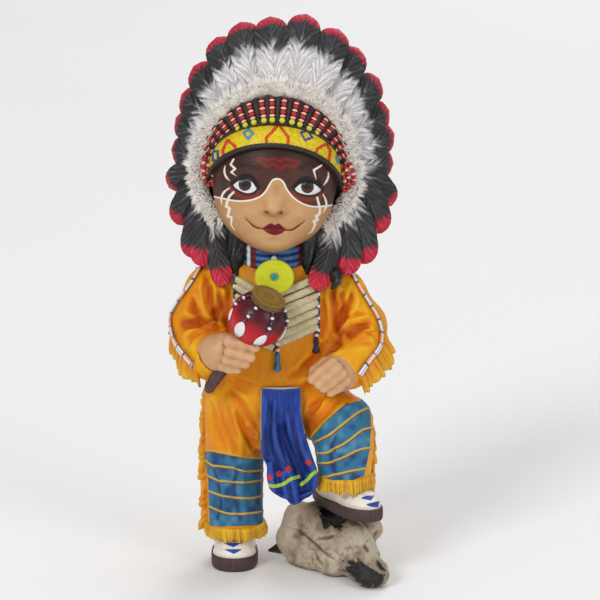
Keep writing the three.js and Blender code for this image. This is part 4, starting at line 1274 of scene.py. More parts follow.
def featherForm(number):
    fan, fine = plume["fan"], carver["fine"]
    t = np.concatenate([np.linspace(0, 0.7, int(46 / fine), endpoint=False),
                        0.7 + 0.3 * np.sin(np.linspace(0, math.pi / 2, int(30 / fine)))])
    if number < len(fan):
        upright = max(0.0, math.cos(math.radians(fan[number][0])))
        spine, half = fanSpine(number, t), 5.5 + 0.8 * upright
        redLong, darkLong = 3.0 + 0.9 * upright, 10.8 + 3.4 * upright
    else:
        line, root, tip, half, redLong = plume["hanging"][number - len(fan)]
        curve = smoothLine(line, 60)
        place = np.stack([np.interp(t, np.linspace(0, 1, 60), curve[:, k]) for k in (0, 1)], axis=1)
        spine = atDepth(place, root + (tip - root) * t ** 1.3)
        darkLong = 14.0 + 0.9 * redLong
    form, at = featherBlade(spine, half, number)
    # brushed zones: a red tip, a black middle and a white foot, each broken up by the barbs
    tipAway, off, warp, pick, crest, ragged = (at[k] for k in ("tipAway", "off", "warp", "pick", "crest",
                                                               "ragged"))
    red = ease(redLong + 1.5, redLong - 1.2, tipAway - 0.16 * off + ragged * 1.2 + 0.4 * warp)
    dark = ease(darkLong + 2.6, darkLong - 2.2, tipAway + ragged * 4.2 - 0.1 * off + 1.2 * warp)
    # each colour is painted darker in the barb grooves, a painted shade, and lighter on their crests, a painted
    # highlight
    white = mix(plume["whiteDark"], plume["white"], 0.45 + 0.55 * crest)
    black = mix(plume["blackDark"], plume["black"], crest)
    black = mix(black, plume["blackLight"], 0.4 * crest * (ragged > 0.15))
    redder = mix(plume["redDark"], plume["red"], 0.45 + 0.55 * crest)
    redder = mix(redder, plume["redLight"], 0.25 * crest * (ragged > 0.15))
    colour = white * (1 - dark)[..., None] + black * dark[..., None]
    colour = colour * (1 - red)[..., None] + redder * red[..., None]
    shaft = np.exp(-(off / 0.2) ** 2) * ease(redLong * 0.8, redLong + 2.5, tipAway) * at["front"]
    colour = mix(colour, plume["shaft"], 0.45 * shaft * dark)
    colour = mix(colour, plume["shaftPale"], 0.4 * shaft * (1 - dark))
    return bladePaint(form, colour)


def featherFinish():
    # the brushed colours with fine streaks that run along the barbs
    f = Finish("featherPaint")
    fibre = f.add("ShaderNodeCombineXYZ", None, {"X": f.attribute("barb"), "Y": f.attribute("off") * 0.22})
    streak = f.add("ShaderNodeTexNoise", None,
                   {"Vector": fibre, "Scale": 1.5, "Detail": 3.0, "Roughness": 0.7})
    line = ((streak - 0.5) * 4.0 + 0.5).clamped()
    patches = f.blend(line, (0.5, 0.5, 0.52), (1.22, 1.2, 1.2))
    colour = f.blend(1.0, f.attribute("paint", "Color"), patches, "MULTIPLY")
    pale = ((streak - 0.56) * 9.0).clamped()
    f.paint("Base Color", f.blend(pale * 0.085, colour, (0.9, 0.9, 0.94)))
    f.paint("Roughness", streak * 0.16 + 0.5)
    bump = f.add("ShaderNodeBump", None,
                 {"Height": line, "Strength": 0.5, "Distance": 0.22 * drawing["millimetre"]})
    f.paint("Normal", bump)
    return f.material


def makeFeathers():
    fan, hanging = len(plume["fan"]), len(plume["hanging"])
    forms = [featherForm(n) for n in range(fan + hanging)]
    finish = featherFinish()
    left = list(range(fan // 2)) + list(range(fan, fan + hanging // 2))
    right = [n for n in range(len(forms)) if n not in left]
    for name, numbers in (("feathersLeft", left), ("feathersRight", right)):
        makePiece(name, join([forms[n] for n in numbers]), finish)


# Hair: it fills the back of the bonnet and falls behind the cheeks

hair = {"black": rgb(26, 24, 26), "light": rgb(74, 70, 74)}


def makeHair():
    clay = Clay((-27, -18, -21), (29, 26, 53), 0.66)
    clay.add(lump((0, 3.0, 26.4), (22.6, 18.5, 23.4)), 1)
    clay.add(lump((0, 6.0, 20), (25.4, 9.0, 16)), 2)
    clay.add(loft([-18, -14, -6, 4, 16, 30], [0] * 6, [10.4, 11, 11.5, 11, 9, 5], [8, 13.5, 17, 20, 22, 21],
                  [3, 4.4, 7, 10, 12.5, 14]), 3)
    for side, reach in ((-1, 11.6), (1, 12.6)):
        clay.add(limb([(side * 14, 2, 12), (side * reach, -2.5, 3), (side * (reach + 0.4), -5, -4),
                       (side * (reach + 1.2), -6.4, -10)],
                      [5.5, 4.4, 3.6, 2.4]), 2.5)
    tail = atDepth(np.array([(329, 260), (333, 269), (337, 275), (337, 281.5), (331, 289)]),
                   np.array([-3, -7.4, -11, -13.4, -15]))
    clay.add(limb([tuple(p) for p in drawingToHead(tail)], [1.4, 1.8, 1.9, 1.5, 0.5]), 1.0)
    form = clay.skin()
    normals = form.normals()
    p = form.points
    turn = np.arctan2(p[:, 0], p[:, 1] - 4)
    strand = np.sin(turn * 46 + 1.6 * np.sin(p[:, 2] * 0.22) + 0.5 * p[:, 2] * np.sign(p[:, 0]))
    strand = 0.6 * strand + 0.4 * np.sin(turn * 97 + 0.9 * p[:, 2] + 2)
    form.points = form.points + normals * (0.32 * strand)[:, None]
    form.points = headToDrawing(form.points)
    # the hair is painted lighter on its raised strands, a painted highlight
    form.values["paint"] = mix(hair["black"], hair["light"], 0.4 * ease(0.35, 1.0, strand))
    makePiece("hair", form, resinFinish("hairPaint", {"rough": 0.38, "mottle": 0.15}))


# Sight lines: where the camera's view through a pixel meets a form

def sightLines(spots):
    spots = np.asarray(spots, float)
    eye = np.array([0, -camera["distance"] * tiltCosine,
                    camera["targetHeight"] + camera["distance"] * tiltSine])
    way = np.array([0, tiltCosine, -tiltSine]) * camera["focal"] + np.array([1.0, 0, 0]) * (spots[:, :1]
            - half)
    return eye, unit(way + np.array([0, tiltSine, tiltCosine]) * (half - spots[:, 1:]))


def landed(clay, spots, lift=0.0):
    # the first points of the clay on these sight lines, or the nearest ones where a line passes beside it
    eye, way = sightLines(spots)
    points = eye + way[:, None] * np.arange(930, 1080, 0.25)[None, :, None]
    value = clay.sample(points.reshape(-1, 3)).reshape(len(way), -1)
    hit = value < 0
    first = np.where(hit.any(1), hit.argmax(1), value.argmin(1))
    at = points[np.arange(len(way)), first]
    for _ in range(3):
        slope = clay.slope(at)
        at = at - slope * clay.sample(at)[:, None] * 0.8
    return at + slope * lift, slope


def atDepth(spots, y):
    # the point at depth y that the camera sees through each pixel
    rise = (half - spots[..., 1]) / camera["focal"]
    z = (rise * (camera["distance"] + y * tiltCosine) - y * tiltSine) / (tiltCosine + rise * tiltSine)
    away = camera["distance"] + y * tiltCosine - z * tiltSine
    return np.stack([(spots[..., 0] - half) * away / camera["focal"], y, z + camera["targetHeight"]], axis=-1)


def facing(normals):
    return normals @ np.array([0, -tiltCosine, tiltSine])


def creased(form, lines, depth, width, back=False, calm=1.0):
    # soft grooves along drawn lines, with a low ridge on both sides
    # it says how deep in a groove each point lies
    normals = form.normals()
    if back:
        spots = form.points[:, [0, 2]] / pixel
        front = ease(0.0, 0.35, normals[:, 1])
        lines = [np.asarray(line, float) / pixel for line in lines]
    else:
        spots = seen(form.points)
        front = ease(-0.15, 0.25, facing(normals))
    push = np.zeros(len(spots))
    inside = np.zeros(len(spots))
    for line in lines:
        curve = smoothLine(line, 28)
        gap = np.maximum(strokeGap(spots, curve, [-0.7, 0.1, 0.25, 0.1, -0.7]), 0) / width
        push += depth * (0.45 * np.exp(-((gap - 2.1) / 0.8) ** 2) - np.exp(-gap ** 2))
        inside = np.maximum(inside, np.exp(-(gap * 0.8) ** 2))
    form.points = form.points + normals * (push * front * calm)[:, None]
    return inside * front * calm


def parted(form, height, above):
    # the faces of a form above or below a height
    def kept(faces):
        return faces[(form.points[faces, 2].mean(1) > height) == above] if len(faces) else faces
    quads, tris = kept(form.quads), kept(form.tris)
    used = np.unique(np.concatenate([quads.ravel(), tris.ravel()]))
    number = np.full(len(form.points), -1)
    number[used] = np.arange(len(used))
    out = Form(form.points[used], number[quads], number[tris])
    out.values = {name: value[used] for name, value in form.values.items()}
    return out


def strands(line, drops, outwards, look, closed=False):
    # a hanging fringe of carved strands: a thick sheet, grooved down its length and ragged at its edge
    look = {"thick": 1.5, "pitch": 1.5, "groove": 0.45, "ragged": 0.2, "wave": 0.5, "lean": 0.0,
            "tone": 0.35, "rows": 9, "seed": 1,
            **look}
    line, drops, outwards = [np.asarray(v, float) for v in (line, drops, outwards)]
    run = lengths(line)
    count = max(int(run[-1] / look["pitch"] * 6 / carver["fine"]), 12)
    at = np.linspace(0, run[-1], count, endpoint=not closed)
    line, drops, outwards = [np.stack([np.interp(at, run, v[:, k]) for k in range(3)], 1) for v in (line,
            drops, outwards)]
    outwards = unit(outwards)
    whole = round(run[-1] / look["pitch"])
    strand = at / run[-1] * whole
    uneven = np.sin(at / run[-1] * math.pi) if closed else 1
    strand = strand + 0.45 * np.sin(strand * 2.1) * np.sin(strand * 0.83 + look["seed"]) * uneven
    cell = np.floor(strand)
    phase = strand - cell
    pick = scatter(np.stack([cell % whole, 0 * cell, 0 * cell], axis=-1).astype(np.int64), look["seed"])
    t = np.linspace(0, 1, look["rows"])
    tip = 1 - look["ragged"] * (0.75 * pick + 0.55 * np.abs(phase * 2 - 1) ** 2)
    groove = look["groove"] * (0.6 + 0.8 * pick) * np.abs(phase * 2 - 1) ** 2
    sway = look["wave"] * (np.sin(at * 0.55 + look["seed"]) + 0.8 * (pick - 0.5))
    fade = ease(0, 0.35, t)
    down = line[:, None] + drops[:, None] * (t[None] * tip[:, None])[..., None]
    bunch = look["lean"] * (np.sin(at * 1.3 + look["seed"]) + 0.4 * np.sin(at * 2.9 + 2 * look["seed"]) + 0.8)
    down = down + unit(np.gradient(line, axis=0))[:, None] * (bunch[:, None] * t[None] ** 2)[..., None]
    bow = np.sin(math.pi * t) * 0.4 + t * 0.1
    outer = look["thick"] / 2 * (1 - 0.45 * t[None] ** 3) - groove[:, None] * fade[None] + sway[:,
            None] * t[None] + bow[None]
    inner = -look["thick"] / 2 * (1 - 0.45 * t[None] ** 3) + sway[:, None] * t[None] + bow[None]
    inner = inner + 0.4 * groove[:, None] * fade[None]
    front = down + outwards[:, None] * outer[..., None]
    back = down + outwards[:, None] * inner[..., None]
    grid = np.concatenate([front, back[:, ::-1]], axis=1)
    form = outward(sheetForm(grid, closedAcross=True, caps=not closed, closedAlong=closed))
    level = np.concatenate([t, t[::-1]])[None] + 0 * at[:, None]
    shade = np.concatenate([np.abs(phase * 2 - 1)[:, None] * fade[None],
                            0.7 + 0 * fade[None] + 0 * at[:, None]], axis=1)
    level, shade = level.ravel(), shade.ravel()
    tone = np.repeat(pick, 2 * look["rows"])
    if not closed:
        level, shade, tone = [np.concatenate([v, v[:1], v[-1:]]) for v in (level, shade, tone)]
    colour = mix(look["light"], look["dark"],
                 np.clip(0.15 + 0.85 * shade ** 2 + look["tone"] * (tone - 0.5), 0, 1))
    form.values["paint"] = mix(colour, look["tip"], ease(0.45, 1.0, level) * 0.55)
    return form


# The suit: shirt and trousers are one piece of clay, parted at the waist

suit = {
    "step": 0.54, "waist": 66.0,
    "gold": rgb(230, 150, 8), "orange": rgb(218, 104, 4), "deep": rgb(146, 54, 6), "light": rgb(246, 200, 40),
    "yellow": rgb(236, 186, 20), "shadeOrange": rgb(196, 102, 6),
    "panel": rgb(46, 112, 148), "panelLight": rgb(92, 150, 172), "panelDark": rgb(32, 48, 104),
    "stripe": rgb(200, 166, 56), "stripeShade": rgb(122, 68, 44),
    "leftSleeve": ([(-22, 1, 105.5), (-31, 1, far), (-36.6, -1, 88), (-35.4, -9, 80.8), (-31.4, -16.5, 80.2)],
                   [8.6, 10.8, 10.2, 9.4, 8.8]),
    "rightSleeve": ([(4, 1, 105.5), (14, 1, far), (21.5, -1, 87.5), (21, -9, 79.6), (17.2, -15, 76.4)],
                    [8.2, 9.4, 9.5, 9.4, 8.6]),
    "leftCuff": ([(-33, -16.5, 81.5), (-27.4, -24.5, 83.2)], [5.4, 7.0]),
    "rightCuff": ([(18.5, -12.5, 77), (12.4, -21.5, 73.6)], [5.4, 6.8]),
}
suitFolds = {
    "deep": [
        [(205.6, 273.5), (207.1, 283.7), (210.2, 299), (213.3, 311.2), (216.3, 320.4)],
        [(191.8, 299), (192.9, 308.2), (198, 315.3), (204.1, 320.4)],
        [(219.4, 293.9), (220.4, 305.1), (217.3, 315.3), (216.3, 321.4)],
        [(174.5, 327.6), (183.7, 321.4), (195.9, 321.4), (210, 322)],
        [(229.6, 290), (227.6, 307.1), (225.5, 319.4), (230.6, 331)],
        [(332.2, 286), (334.4, 306.3), (336, 323.7), (339.8, 336)],
        [(340.9, 293.3), (343.1, 304.2), (340.9, 319.3), (340.4, 332)],
        [(353.9, 289), (350.7, 302), (344.2, 315), (340.9, 328)],
        [(376.7, 322), (365.8, 323.5), (355, 328.5), (343, 336)],
        [(325.8, 356), (333.3, 347.5), (341, 339)],
    ],
    "soft": [
        [(175.5, 332), (188.8, 326.5), (201, 325), (216, 325)],
        [(187.8, 344), (195.9, 335), (207.1, 330.1), (217.3, 328.6)],
        [(197, 352), (201, 343), (209, 335), (219, 331)],
        [(376.7, 337), (365.8, 332), (355, 334), (342, 339)],
        [(334, 350), (346.3, 342), (359.3, 341), (372, 344)],
        [(302, 366), (315, 357), (328, 342)],
        [(290, 377), (304, 370), (318, 358)],
        [(303, 388), (314, 383), (324, 376)],
        [(218, 396), (220.6, 415.5), (227.7, 434.8), (236.5, 451)],
        [(229.4, 389.3), (240.8, 405), (250, 418), (257, 427)],
        [(239, 414), (246, 431.3), (252, 443), (256, 450)],
        [(212, 402), (214.5, 418), (219, 434), (226, 448)],
        [(302.5, 430), (314.5, 408), (322, 397)],
        [(306, 434), (320, 418), (336, 402)],
        [(236, 272), (238, 290), (236, 310)],
        [(322, 300), (325, 318), (322, 336)],
        [(214, 470), (220, 500), (217, 520)],
        [(238, 468), (234, 492), (240, 518)],
        [(336, 436), (330, 452), (334, 472)],
    ],
    "fine": [
        [(231.2, 375.3), (240.8, 380.5), (250.3, 383.6), (257, 384.8)],
        [(227.7, 378.8), (239, 384.9), (248.6, 387.8), (257, 389.2)],
        [(226.8, 382.4), (237.3, 388.5), (246.8, 391.6), (256, 393)],
        [(233.8, 403), (242.5, 426), (249.3, 441), (254, 452)],
        [(248.7, 424.9), (253, 432.7), (257, 437)],
        [(226, 404), (232, 424), (240, 444)],
        [(306.6, 409.4), (316, 403.3), (324.9, 398)],
        [(306, 417.3), (311.8, 411.2), (323, 401.5)],
        [(204.5, 278), (204.3, 290), (207, 303), (209.5, 310.4)],
        [(211.3, 283.3), (210.4, 295.5), (212, 307.8)],
        [(178, 331), (190.3, 326.4), (204.3, 327), (214, 330)],
        [(186, 341), (196, 333.6), (206, 330)],
        [(335.3, 309), (340, 298.5), (342.3, 291)],
        [(343, 319.5), (352, 315.4), (364, 313), (372, 312.4)],
        [(345, 330.6), (354, 327), (364, 326.4), (373, 328.6)],
        [(346, 341), (354, 336.4), (364, 337), (372, 340)],
        [(304, 377), (312, 372), (322, 361)],
    ],
    # from behind, as places across and up in millimetres
    "behind": [
        [(-31, 100), (-25, 92), (-22, 80)], [(13, 100), (7, 92), (4, 80)], [(-28, 71), (-16, 69.5), (-2, 71)],
        [(-24, 77), (-12, 75), (-2, 76)], [(-9, 64), (-9.6, 56), (-10.4, 49)],
        [(-33, 55), (-24, 51.5), (-14, 53)], [(-4, 54), (4, 51.5), (12, 54)],
        [(-32, 38), (-24, 36), (-16, 39)],
        [(-31, 29), (-23, 27.4), (-16, 30)], [(-44, 92), (-38, 87), (-32, 86)],
        [(-43, 84), (-37, 82), (-31, 83)], [(28, 92), (22, 87), (16, 86)], [(27, 84), (21, 81), (15, 83)],
    ],
}
panels = {
    "left": [(203.5, 452), (213, 451.6), (234.2, 455.6), (249, 458.2), (263.5, 459), (264, 524),
             (250, 525.5), (236.9, 526),
             (222, 526.6), (209.8, 525.9), (209, 500), (208.4, 480), (206, 462)],
    "right": [(311.9, 438), (324, 424), (341.3, 407.4), (353.4, 400.6), (365.4, 399.8), (370.4, 412),
              (370.6, 430),
              (369.4, 450), (364, 476), (354, 479.6), (345.4, 481.6), (334, 481.4), (318, 478.4)],
    "leftStripes": [
        [(203.5, 450.6), (213, 450.4), (234.2, 454.6), (249, 457.4), (264, 458)],
        [(205.5, 459.5), (212.8, 465), (224, 466.2), (234.2, 467.8), (246.2, 471.1), (264, 469.6)],
        [(207, 474.5), (218.1, 480), (226, 481), (234.2, 481.8), (247.6, 482), (264, 479.4)],
        [(208.6, 490.5), (216, 493.4), (225, 496), (236.9, 497.4), (250, 498), (264, 495)],
        [(208.4, 505.4), (219.5, 510.6), (226, 512.6), (234.2, 513.7), (247.6, 513.2), (264, 511)],
    ],
    "rightStripes": [
        [(311, 437), (324, 422.2), (341.3, 406.2), (353.4, 399.5), (366, 398.8)],
        [(314, 442.5), (322, 439), (330.6, 434), (344, 423.6), (357.4, 413), (370, 407.3)],
        [(316, 452.6), (324, 452.6), (332, 450), (348, 440.6), (361.4, 430.3), (372.5, 427)],
        [(316, 462.4), (329.3, 462.2), (344, 456.4), (357.4, 450), (371, 447)],
        [(317, 477.2), (331, 475.4), (348, 471), (364.6, 468)],
    ],
}


def makeSuit():
    s = suit
    clay = Clay((-51, -34, 8), (39, 23.5, 118), s["step"])
    clay.add(loft([60, 66, 74, 84, 94, 103, 109, 115], [-9.2] * 8, [-.5, -.5, -.3, 0, .3, .6, .4, -.6],
                  [23.4, 24.4, 24.6, 24, 23.4, 21.8, 16.6, 10],
                  [16, 16.8, 16.8, 16.2, 15.6, 13.6, 11.6, 9.4], 2.2), 1)
    clay.add(limb(*s["leftSleeve"], blend=3), 3)
    clay.add(limb(*s["rightSleeve"], blend=3), 3)
    clay.add(loft([45, 50, 58, 66, 72], [-13, -11.4, -9.4, -9.2, -9.2], [-1, -.6, -.4, -.4, -.4],
                  [9, 17.6, 23.8, 24.8, 24],
                  [11, 14, 16, 16.8, 16], 2.2), 2)
    clay.add(loft([10.5, 13, 22, 36, 50, 64], [-23.8, -23.8, -23.8, -24, -23.6, -22.4],
                  [-3.2, -3.2, -3, -2.4, -1.6, -1],
                  [10.2, 10.2, 10, 10.3, 11.2, 11.4], [10.4, 10.6, 10.4, 11, 13, 13.6], 2.1), 3)
    clay.add(limb([(-2, 1, 60), (8, -6, 58.2), (15, -14, 54.4), (16.2, -18, 51.5)], [11.4, 11.2, 11.0, 9.6],
                  blend=2), 2)
    clay.add(loft([32.4, 34, 38, 48, 57], [16.4, 16.4, 16.2, 16, 15.8], [-16.6, -16.6, -17, -17.4, -16.5],
                  [8.6, 8.9, 9.4, 10.6, 9], [8.6, 8.9, 9.4, 10.6, 8], 2.1), 2)
    clay.cut(limb(*s["leftCuff"]), 0.8)
    clay.cut(limb(*s["rightCuff"]), 0.8)
    form = clay.skin()
    # the folds fade out beside the bead strips
    spots = seen(form.points)
    strip = np.min([strokeGap(spots, smoothLine(trims[name], 30), [0.5]) for name in ("leftStrip",
            "rightStrip")], axis=0)
    calm = np.where(facing(form.normals()) > -0.3, ease(0.2, 2.6, strip), 1.0)
    dark = creased(form, suitFolds["deep"], 1.65, 1.15, calm=calm)
    dark = np.maximum(dark, 0.6 * creased(form, suitFolds["soft"], 1.0, 1.2, calm=calm))
    dark = np.maximum(dark, 0.55 * creased(form, suitFolds["fine"], 0.6, 0.6, calm=calm))
    dark = np.maximum(dark, 0.45 * creased(form, suitFolds["behind"], 0.65, 1.5, back=True))
    normals = form.normals()
    sway = grain(form.points * (1, 1, 0.45), 4.2, 5)
    form.points = form.points + normals * (0.12 * sway)[:, None]
    spots = seen(form.points)
    leftLeg = (form.points[:, 2] < 58) & (form.points[:, 0] < -9)
    rightLeg = (form.points[:, 2] < 64) & (form.points[:, 0] > 2)
    panel = np.minimum(np.where(leftLeg, regionGap(spots, panels["left"]), far),
                       np.where(rightLeg, regionGap(spots, panels["right"]), far))
    stripe = np.full(len(spots), far)
    shade = stripe.copy()
    for lines, leg in ((panels["leftStripes"], leftLeg), (panels["rightStripes"], rightLeg)):
        for line in lines:
            curve = smoothLine(line, 30)
            stripe = np.minimum(stripe, np.where(leg, strokeGap(spots, curve, [0.34]), far))
            shade = np.minimum(shade, np.where(leg, strokeGap(spots, curve + (0.0, 1.9), [0.22]), far))
    form.points += normals * (0.25 * ease(0.4, -0.4, panel) + 0.28 * ease(0.35, -0.15, stripe))[:, None]
    form.soften(2, 0.4)
    paintSuit(form, dark, spots)
    form.values.update({"panelGap": panel, "stripeGap": stripe, "shadeGap": shade})
    makePiece("shirt", parted(form, s["waist"], True),
              resinFinish("shirtPaint", {"rough": 0.52, "shine": 0.25, "mottle": 0.12, "grain": 0.2}))
    layers = (("panelGap", "panelPaint"), ("shadeGap", s["stripeShade"]), ("stripeGap", s["stripe"]))
    makePiece("trousers", parted(form, s["waist"], False),
              resinFinish("trouserPaint", {"rough": 0.52, "shine": 0.25, "grain": 0.2, "strokes": layers}))
    return clay


def paintSuit(form, dark, spots):
    s = suit
    front = ease(-0.2, 0.2, facing(form.normals()))
    hollow = form.hollows(14)
    wash = grain(form.points * (1, 1, 0.5), 10.0, 8)
    brush = grain(form.points * (1.6, 1.6, 0.5), 1.1, 12)
    colour = np.tile(s["gold"], (len(spots), 1))
    colour = mix(colour, s["yellow"], ease(0.0, 0.8, wash) * 0.5)
    colour = mix(colour, s["orange"], ease(0.0, -0.8, wash) * 0.35)
    # painted shade in orange and deep brown on the chest, belly and thighs, at the elbows and beside the cloth,
    # and painted highlights in yellow and gold on the cuffs, the right sleeve and the belly
    for x, y, wide, high, tint, share in (
        (275, 368, 32, 18, "shadeOrange", 0.5), (240, 425, 24, 28, "shadeOrange", 0.5), (300, 400, 22, 14, "orange", 0.5),
        (255, 436, 9, 20, "deep", 0.4), (310, 425, 10, 12, "deep", 0.4),
        (212, 345, 16, 14, "yellow", 0.6), (362, 350, 16, 12, "yellow", 0.5), (275, 268, 34, 9, "shadeOrange", 0.9),
        (330, 395, 30, 12, "gold", 0.3), (325, 305, 9, 30, "yellow", 0.4), (215, 320, 16, 11, "orange", 0.9),
        (340, 330, 12, 12, "orange", 0.75),
    ):
        near = dab(spots, x, y, wide, high)
        colour = mix(colour, s[tint], share * near * front)
    # lighter on the raised parts, a painted highlight, and orange in the hollows, orange to deep brown in the
    # creases, a painted shade
    colour = mix(colour, s["light"], 0.3 * ease(-0.1, -0.5, hollow))
    colour = mix(colour, s["orange"], 0.6 * ease(0.06, 0.45, hollow))
    colour = mix(colour, s["orange"], 0.7 * ease(0.2, 0.8, dark))
    colour = mix(colour, s["deep"], 0.6 * ease(0.55, 1.0, dark) * (0.8 + 0.2 * brush))
    # deep brown dabs in the deepest folds and under the hands, a painted shade
    for x, y, wide, high, share in ((215, 321, 8, 5, 0.55), (341, 334, 6, 8, 0.7), (308, 424, 10, 14, 0.55),
                                    (232, 330, 5, 12, 0.4), (334, 318, 3, 20, 0.2), (216, 376, 8, 10, 0.4)):
        near = dab(spots, x, y, wide, high)
        colour = mix(colour, s["deep"], share * near * front)
    colour = colour * (1 + 0.08 * brush)[:, None]
    form.values["paint"] = np.clip(colour, 0, 1)
    blue = np.tile(s["panel"], (len(spots), 1))
    streak = grain(form.points * (0.8, 0.8, 0.7), 1.9, 21)
    blue = mix(blue, s["panelLight"], 0.6 * ease(0.1, 0.8, streak))
    blue = mix(blue, s["panelDark"], 0.75 * ease(0.0, -0.7, streak + 0.5 * grain(form.points, 6, 22)))
    # the blue darkens in the hollows and creases and along the inner side of each leg, a painted shade
    blue = mix(blue, s["panelDark"], 0.8 * np.maximum(ease(0.03, 0.2, hollow), ease(0.3, 0.9, dark)))
    inner = np.exp(-((spots[:, 0] - 262) / 9) ** 2) * front
    blue = mix(blue, s["panelDark"], 0.55 * inner)
    form.values["panelPaint"] = blue


# Bead strips and fringes along the sleeves and legs

trims = {
    "leftStrip": [(204.5, 264), (192.9, 282.7), (185.2, 293.9), (178.6, 304), (172.6, 315.3), (172, 323.5),
                  (174.3, 335.7), (178.4, 345.9), (186, 355.1), (194.4, 363.8)],
    "rightStrip": [(350, 272.5), (360, 291), (369.6, 306.3), (377.4, 320.4), (380, 333.4), (378.2, 347.5),
                   (368, 360.5), (358.6, 374)],
    "leftDrops": [(-2.4, 0.8, -1.2), (-2.2, 0.5, -1.6), (-1.4, 0.2, -2.4), (-0.3, -0.8, -5.4),
                  (-1.5, -1.8, -8.6), (0.6, -1.5, -9.4)],
    "rightDrops": [(2.8, 0.8, -1.2), (3.4, 0.5, -2.0), (4.0, 0.3, -3.4), (5.4, -0.5, -6.8),
                   (6.2, -1.5, -7.4), (3.6, -1.5, -9.4)],
    "leftRadii": [0.8, 0.85, 0.9, 0.95, 1.15, 1.35], "rightRadii": [0.8, 0.85, 0.9, 0.9, 1.0, 1.25],
    "white": rgb(240, 238, 234), "salmon": rgb(232, 152, 118), "blue": rgb(40, 60, 132),
    "grey": rgb(64, 62, 82),
    "fringe": {"light": rgb(230, 160, 18), "dark": rgb(190, 108, 10), "tip": rgb(230, 186, 30)},
    "ankle": {"light": rgb(232, 180, 30), "dark": rgb(176, 98, 14), "tip": rgb(228, 196, 48)},
    "legs": [
        ([(-33.2, 0.6, 66), (-34, 0, 56), (-34.2, -0.6, 45), (-33.4, -1.4, 28), (-33, -2.4, 13.5)],
         (-4.4, -0.4, -2.0)),
        ([(24.6, -10.5, 59), (26, -13, 50), (25.6, -14.2, 40), (24.6, -14.4, 31)], (2.3, -0.2, -1.6)),
    ],
}


def makeTrims(clay):
    strips, fringes = [], []
    for strip, drops, radii, seed in (("leftStrip", "leftDrops", "leftRadii", 3),
                                      ("rightStrip", "rightDrops", "rightRadii", 6)):
        curve = smoothLine(trims[strip], 120)
        at, out = landed(clay, curve, 0.35)
        for _ in range(10):
            at[1:-1] = (at[:-2] + 2 * at[1:-1] + at[2:]) / 4
            out[1:-1] = (out[:-2] + 2 * out[1:-1] + out[2:]) / 4
        out = unit(out)
        form = rod(at + out * 0.45, trims[radii], 24, 0.5, out)
        run = lengths(at)
        length = np.repeat(run, 24)
        turn = np.tile(np.linspace(0, 2 * math.pi, 24, endpoint=False), len(at))
        across = np.cos(turn)
        length, across = [np.concatenate([v, v[:1], v[-1:]]) for v in (length, across)]
        block = np.floor(length / 5.2)
        within = length / 5.2 - block
        colour = np.where((block % 2 == 0)[:, None], trims["white"], trims["salmon"])
        line = (np.abs(across) < 0.2) | (np.abs(np.abs(across) - 0.87) < 0.05)
        colour = mix(colour, trims["blue"], (line & (block % 2 == 0)) * 0.9)
        colour = mix(colour, trims["white"], ((np.abs(across) < 0.3) & (block % 2 == 1)) * 0.8)
        colour = mix(colour, trims["grey"], (np.abs(across) > 0.92) * 0.8)
        colour = mix(colour, trims["grey"], ((within < 0.07) | (within > 0.95)) * 0.95)
        form.values["paint"] = colour
        strips.append(form)
        drop = smoothLine(trims[drops], 120)
        tilted = unit(out + np.array([0, -0.4, 0]))
        sidewards = unit(np.cross(unit(np.gradient(at, axis=0)), unit(drop)))
        sidewards = np.where((sidewards[:, 1] > 0)[:, None], -sidewards, sidewards)
        form = strands(at - out * 1.2 + np.array([0, 0.4, 0]), drop, unit(tilted * 0.2 + sidewards),
                       {**trims["fringe"], "thick": 2.4, "pitch": 2.3, "groove": 0.5, "ragged": 0.26,
                        "wave": 1.2, "seed": seed})
        fringes.append(form)
    for (line, drop), seed in zip(trims["legs"], (11, 15)):
        curve = smoothLine(line, 80)
        swell = (0.6 + 0.5 * np.linspace(0, 1, 80)) * (1 + 0.14 * np.sin(np.arange(80) * 0.42))
        form = strands(curve, np.tile(drop, (80, 1)) * swell[:, None],
                       np.tile((0.0, -1.0, 0.15), (80, 1)),
                       {**trims["fringe"], "thick": 3.0, "pitch": 3.4, "groove": 0.45, "ragged": 0.28,
                        "wave": 0.5, "seed": seed})
        fringes.append(form)
    makePiece("sleeveStrips", join(strips),
              resinFinish("stripPaint", {"rough": 0.35, "mottle": 0.05, "grain": 0.08}))
    makePiece("sideFringes", join(fringes),
              resinFinish("fringePaint", {"rough": 0.52, "mottle": 0.15, "grain": 0.2}))
    rings = []
    turn = np.linspace(0, 2 * math.pi, 121)
    for centre, half, drop, seed in (((-23.8, -3.4, 15.4), (10.0, 10.4), 5.3, 5),
                                     ((16.3, -16.8, 37.2), (8.9, 8.9), 6.2, 9)):
        out = np.stack([np.cos(turn), np.sin(turn), 0 * turn], axis=1)
        line = np.asarray(centre) + out * (*half, 0)
        drops = np.array([0, 0, -drop]) + out * 0.9
        rings.append(strands(line, drops, out,
                             {**trims["ankle"], "thick": 2.0, "rows": 6, "pitch": 0.8, "groove": 0.36,
                                                "ragged": 0.36, "wave": 0.5, "lean": 0.34, "tone": 0.7,
                                                "seed": seed},
                             closed=True))
    makePiece("ankleFringes", join(rings),
              resinFinish("anklePaint", {"rough": 0.52, "mottle": 0.12, "grain": 0.2}))


# Breast plate of bone pipes, collar, medallion and tassels

